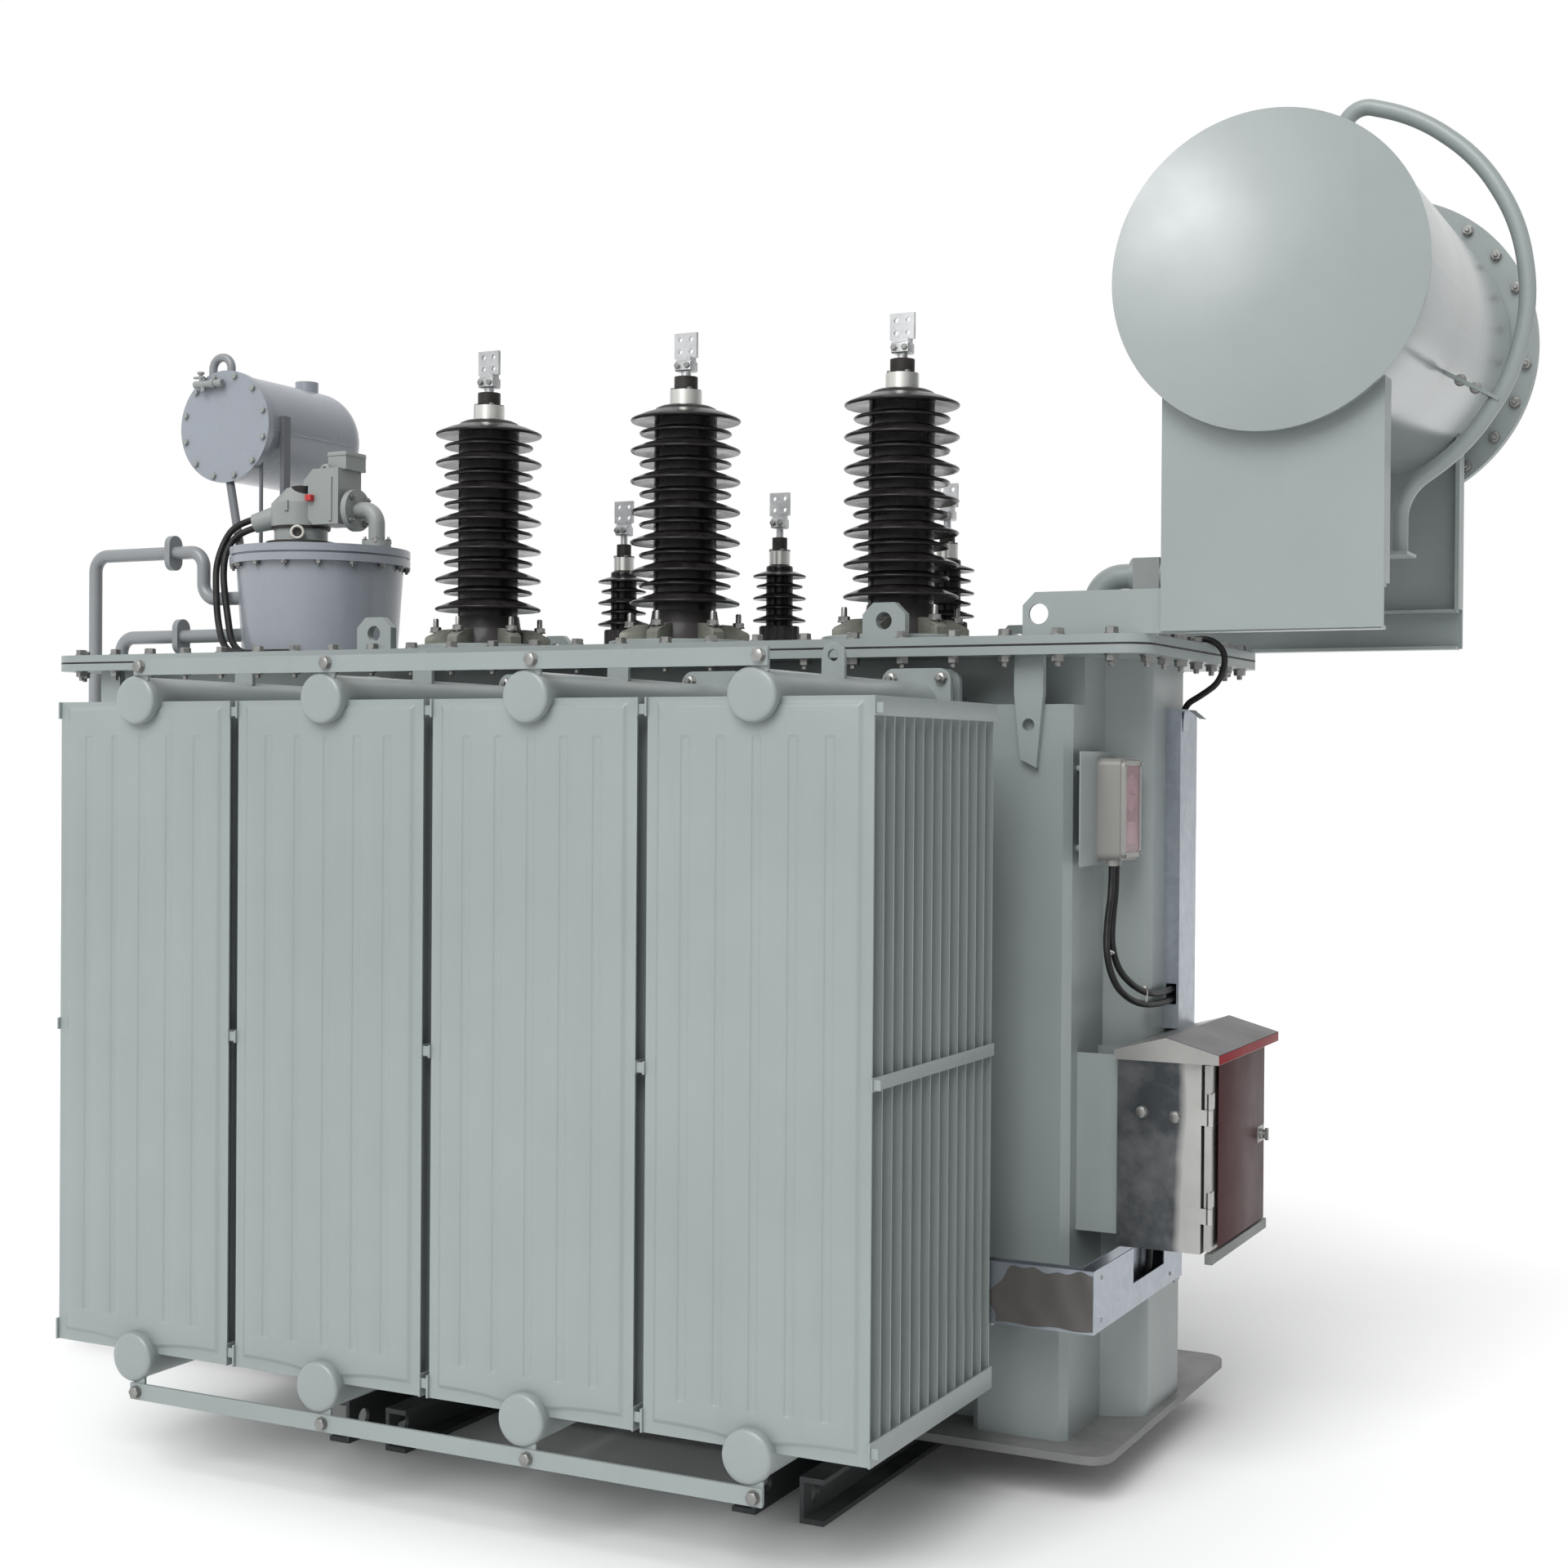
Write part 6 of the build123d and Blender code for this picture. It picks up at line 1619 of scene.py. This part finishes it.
@dataclass
class Thermometer:
    """The bezel, dial and switch window of the oil thermometer."""

    middle: float = -0.281
    level: float = 1.602
    dial_level: float = 1.640
    face: float = 1.267
    ticks: int = 13
    sweep: float = 120.0

    def bezel(self) -> Shape:
        """A round-cornered frame round the window: nested outlines joined into a closed ring.

        Returns:
            The closed frame.
        """
        sizes = [(0.130, 0.232, 0.018, 0.0), (0.130, 0.232, 0.018, 0.007), (0.126, 0.228, 0.016, 0.010),
                 (0.104, 0.206, 0.009, 0.010), (0.102, 0.204, 0.008, 0.0075), (0.102, 0.204, 0.008, 0.0)]
        rings = [(rounded_rectangle(width, height, corner, 5) + (self.middle, self.level), self.face + out)
                 for width, height, corner, out in sizes]
        return grid(layers(rings, 0), close_rows=True, close_columns=True)

    def dial(self) -> tuple[Shape, Shape]:
        """A pale dial with ticks and hand, and the switch plate under it.

        Returns:
            The pale pieces and the dark ones.
        """
        x = self.face + 0.0008
        middle = (x, self.middle, self.dial_level)
        disc = lathe(rod(0.043, 0, 0.0012), middle, Axis.X, 40)
        plate = bar((x, self.middle - 0.030, 1.520), (x + 0.003, self.middle + 0.030, 1.572), 0.001)
        tick = bar((0, -0.0006, 0.031), (0.0006, 0.0006, 0.039), 0.0002)
        ticks = []
        for turn in np.radians(np.linspace(-self.sweep, self.sweep, self.ticks)):
            c, s = math.cos(turn), math.sin(turn)
            about_x = np.array([[1, 0, 0], [0, c, -s], [0, s, c]])
            ticks.append(tick.turned(about_x).moved((x + 0.0012, self.middle, self.dial_level)))
        hand = bar((x + 0.0014, self.middle - 0.002, 1.634), (x + 0.0026, self.middle + 0.030, 1.639), 0.0005)
        knob = lathe(rod(0.006, 0, 0.0028), middle, Axis.X, 20)
        return joined([disc, plate]), joined([*ticks, hand, knob])

    def build(self) -> None:
        """Bezel, dial and hand, and the screws at the bezel's corners."""
        make_piece("thermometer_bezel", self.bezel(), CREAM)
        pale, dark = self.dial()
        make_piece("thermometer_dial", pale, IVORY)
        make_piece("thermometer_hand", dark, NITRILE)
        x, pin = self.face + 0.010, rod(0.005, 0, 0.003)
        pins = [lathe(pin, (x, self.middle + dy, self.level + dz), Axis.X, 16)
                for dy in (-0.057, 0.057) for dz in (-0.106, 0.106)]
        make_piece("thermometer_screws", joined(pins), PLATED)


@dataclass
class Trays:
    """What is on the cable trays: the torn film, the bent lid, rivets."""

    film_x: tuple[float, float] = (1.082, 1.3135)
    film_z: tuple[float, float] = (0.448, 0.574)
    wall: float = -0.655

    def film(self) -> Shape:
        """A torn sheet of film on the low tray's front wall: a grid whose border wanders by sums of sines.

        Returns:
            The closed sheet.
        """
        u, v = np.meshgrid(np.linspace(0, 1, 40), np.linspace(0, 1, 16))
        tear = 0.045 * np.clip(v - 0.55, 0, 1) ** 1.2 * 2
        left = 0.012 * np.sin(3.1 + 4 * v) + 0.007 * np.sin(11 * v) + tear
        top = 0.004 * np.sin(9 * u) + 0.003 * np.sin(23 * u + 1)
        low = 0.002 * np.sin(13 * u)
        (x0, x1), (z0, z1) = self.film_x, self.film_z
        x = x0 + left + (x1 - x0 - left) * u
        z = z0 + low + (z1 + top - z0 - low) * v
        wave = 0.0006 * np.sin(17 * u + 5 * v) + 0.0009
        back = np.full_like(x, self.wall + 0.0001)
        return sheet(np.stack([x, self.wall - wave, z], -1), np.stack([x, back, z], -1))

    def bent_lid(self) -> Shape:
        """The end of the upright duct's cover, bent outwards: a strip carried along a bent line.

        Returns:
            The closed strip.
        """
        line = np.array([(1.3135, 1.790), (1.3140, 1.815), (1.3165, 1.838), (1.3270, 1.843), (1.3420, 1.832),
                         (1.3560, 1.821)])
        near, far = -0.004, 0.050
        thick = np.array([0.0012, 0.0006])
        outer = layers([(line + thick, near), (line + thick, far)], 1)
        inner = layers([(line, far), (line, near)], 1)
        caps = [np.stack([outer[:, end], inner[::-1, end]]) for end in (0, -1)]
        return joined([grid(np.concatenate([outer, inner]), close_rows=True), *map(grid, caps)])

    def build(self) -> None:
        """Film, bent lid, and rivets along the trays."""
        make_piece("tray_film", self.film(), FILM)
        make_piece("duct_lid_end", self.bent_lid(), GALVANISED)
        rivet = [(0, 0), (0.005, 0), (0.0045, 0.0015), (0.002, 0.0026), (0, 0.0026)]
        places = np.array([(1.315, y, z) for y in (-0.60, -0.08) for z in (0.465, 0.560)])
        make_piece("tray_rivets", copies(lathe(rivet, axis=Axis.X, segments=12), places), PLATED)


@dataclass
class Studio:
    """Camera, pale floor and soft light."""

    eye: tuple[float, float, float] = (2.9101, -5.3800, 1.6957)
    yaw: float = 26.640
    pitch: float = -0.435
    roll: float = 0.397
    focal_pixels: float = 2738.87
    frame_pixels: float = 1920.0
    sensor: float = 36.0
    floor_half: float = 60.0
    sky_light: float = 0.9
    dark_side: float = 0.45
    dark_from: float = 0.9
    key_power: float = 2.35
    key_spread: float = 40.0
    key_turn: float = 4.0
    key_rise: float = 42.0
    sweep_place: tuple[float, float, float] = (-0.45, -6.83, 4.58)
    sweep_target: tuple[float, float, float] = (1.45, -0.54, 2.95)
    sweep_size: float = 0.7
    sweep_power: float = 22.0

    def camera(self) -> None:
        """The camera at the photograph's place, from its yaw, pitch and roll."""
        yaw, pitch, roll = (math.radians(a) for a in (self.yaw, self.pitch, self.roll))
        ahead = Vector((-math.sin(yaw) * math.cos(pitch), math.cos(yaw) * math.cos(pitch), math.sin(pitch)))
        right = Vector((math.cos(yaw), math.sin(yaw), 0))
        up = right.cross(ahead)
        side = right * math.cos(roll) + up * math.sin(roll)
        top = up * math.cos(roll) - right * math.sin(roll)
        data = bpy.data.cameras.new("camera")
        data.sensor_width = self.sensor
        data.lens = self.focal_pixels / self.frame_pixels * self.sensor
        data.clip_end = 200
        camera = bpy.data.objects.new("camera", data)
        turn = Matrix((side, top, -ahead)).transposed().to_4x4()
        camera.matrix_world = Matrix.Translation(self.eye) @ turn
        bpy.context.scene.collection.objects.link(camera)
        bpy.context.scene.camera = camera

    def floor(self) -> None:
        """A wide pale floor."""
        s = Sheets("studio_floor")
        s.surface("Base Color", s.mix(s.noise(0.4, 2), (0.92, 0.92, 0.92), (0.94, 0.94, 0.94)))
        s.surface("Roughness", 0.9)
        steps = np.linspace(-self.floor_half, self.floor_half, 9)
        xs, ys = np.meshgrid(steps, steps)
        shape = grid(np.stack([xs, ys, 0 * xs], -1)[:, ::-1])
        mesh = bpy.data.meshes.new("studio_floor")
        mesh.from_pydata(shape.points.tolist(), [], shape.quads.tolist())
        mesh.materials.append(s.material)
        floor = bpy.data.objects.new("studio_floor", mesh)
        bpy.context.scene.collection.objects.link(floor)

    def sweep(self) -> None:
        """A small square light for the highlight on the main conservator's disc."""
        data = bpy.data.lights.new("sweep", "AREA")
        data.size, data.energy = self.sweep_size, self.sweep_power
        lamp = bpy.data.objects.new("sweep", data)
        aim = Vector(self.sweep_target) - Vector(self.sweep_place)
        turn = aim.to_track_quat("-Z", "Y").to_matrix().to_4x4()
        lamp.matrix_world = Matrix.Translation(self.sweep_place) @ turn
        bpy.context.scene.collection.objects.link(lamp)

    def sky(self) -> None:
        """A white background, dimmer towards the right, that shows pure white behind the object."""
        world = bpy.data.worlds.new("soft_white")
        world.use_nodes = True
        tree = world.node_tree
        back = tree.nodes["Background"]
        back.inputs["Color"].default_value = (1, 1, 1, 1)
        kinds = ("LightPath", "TexCoord", "SeparateXYZ", "MapRange", "MapRange")
        ray, place, split, shade, power = (tree.nodes.new(f"ShaderNode{kind}") for kind in kinds)
        shade.interpolation_type = "SMOOTHSTEP"
        shade.inputs["From Max"].default_value = self.dark_from
        shade.inputs["To Min"].default_value = self.sky_light
        shade.inputs["To Max"].default_value = self.sky_light * self.dark_side
        tree.links.new(place.outputs["Generated"], split.inputs[0])
        tree.links.new(split.outputs["X"], shade.inputs["Value"])
        tree.links.new(shade.outputs["Result"], power.inputs["To Min"])
        tree.links.new(ray.outputs["Is Camera Ray"], power.inputs["Value"])
        tree.links.new(power.outputs["Result"], back.inputs["Strength"])
        bpy.context.scene.world = world

    def sun(self) -> None:
        """One wide soft key light from the front."""
        data = bpy.data.lights.new("key", "SUN")
        data.energy, data.angle = self.key_power, math.radians(self.key_spread)
        lamp = bpy.data.objects.new("key", data)
        turn, rise = math.radians(self.key_turn), math.radians(self.key_rise)
        source = Vector((math.sin(turn) * math.cos(rise), -math.cos(turn) * math.cos(rise), math.sin(rise)))
        lamp.matrix_world = source.to_track_quat("Z", "Y").to_matrix().to_4x4()
        bpy.context.scene.collection.objects.link(lamp)

    def build(self) -> None:
        """Everything but the object."""
        self.camera()
        self.floor()
        self.sky()
        self.sun()
        self.sweep()
        bpy.context.scene.view_settings.view_transform = "Standard"


def main() -> None:
    """Build every sub-assembly in order."""
    logging.basicConfig(level=logging.INFO, format="%(name)s %(message)s")
    Studio().build()
    for cable in CABLES:
        cable.lay()
    dress_cad_nodes()
    for assembly in (Radiators, FlangeBolts, Bushings, TapChanger, Conservators, CableTies, Cabinet,
                     Thermometer, Trays):
        assembly().build()


if __name__ == "__main__":
    main()
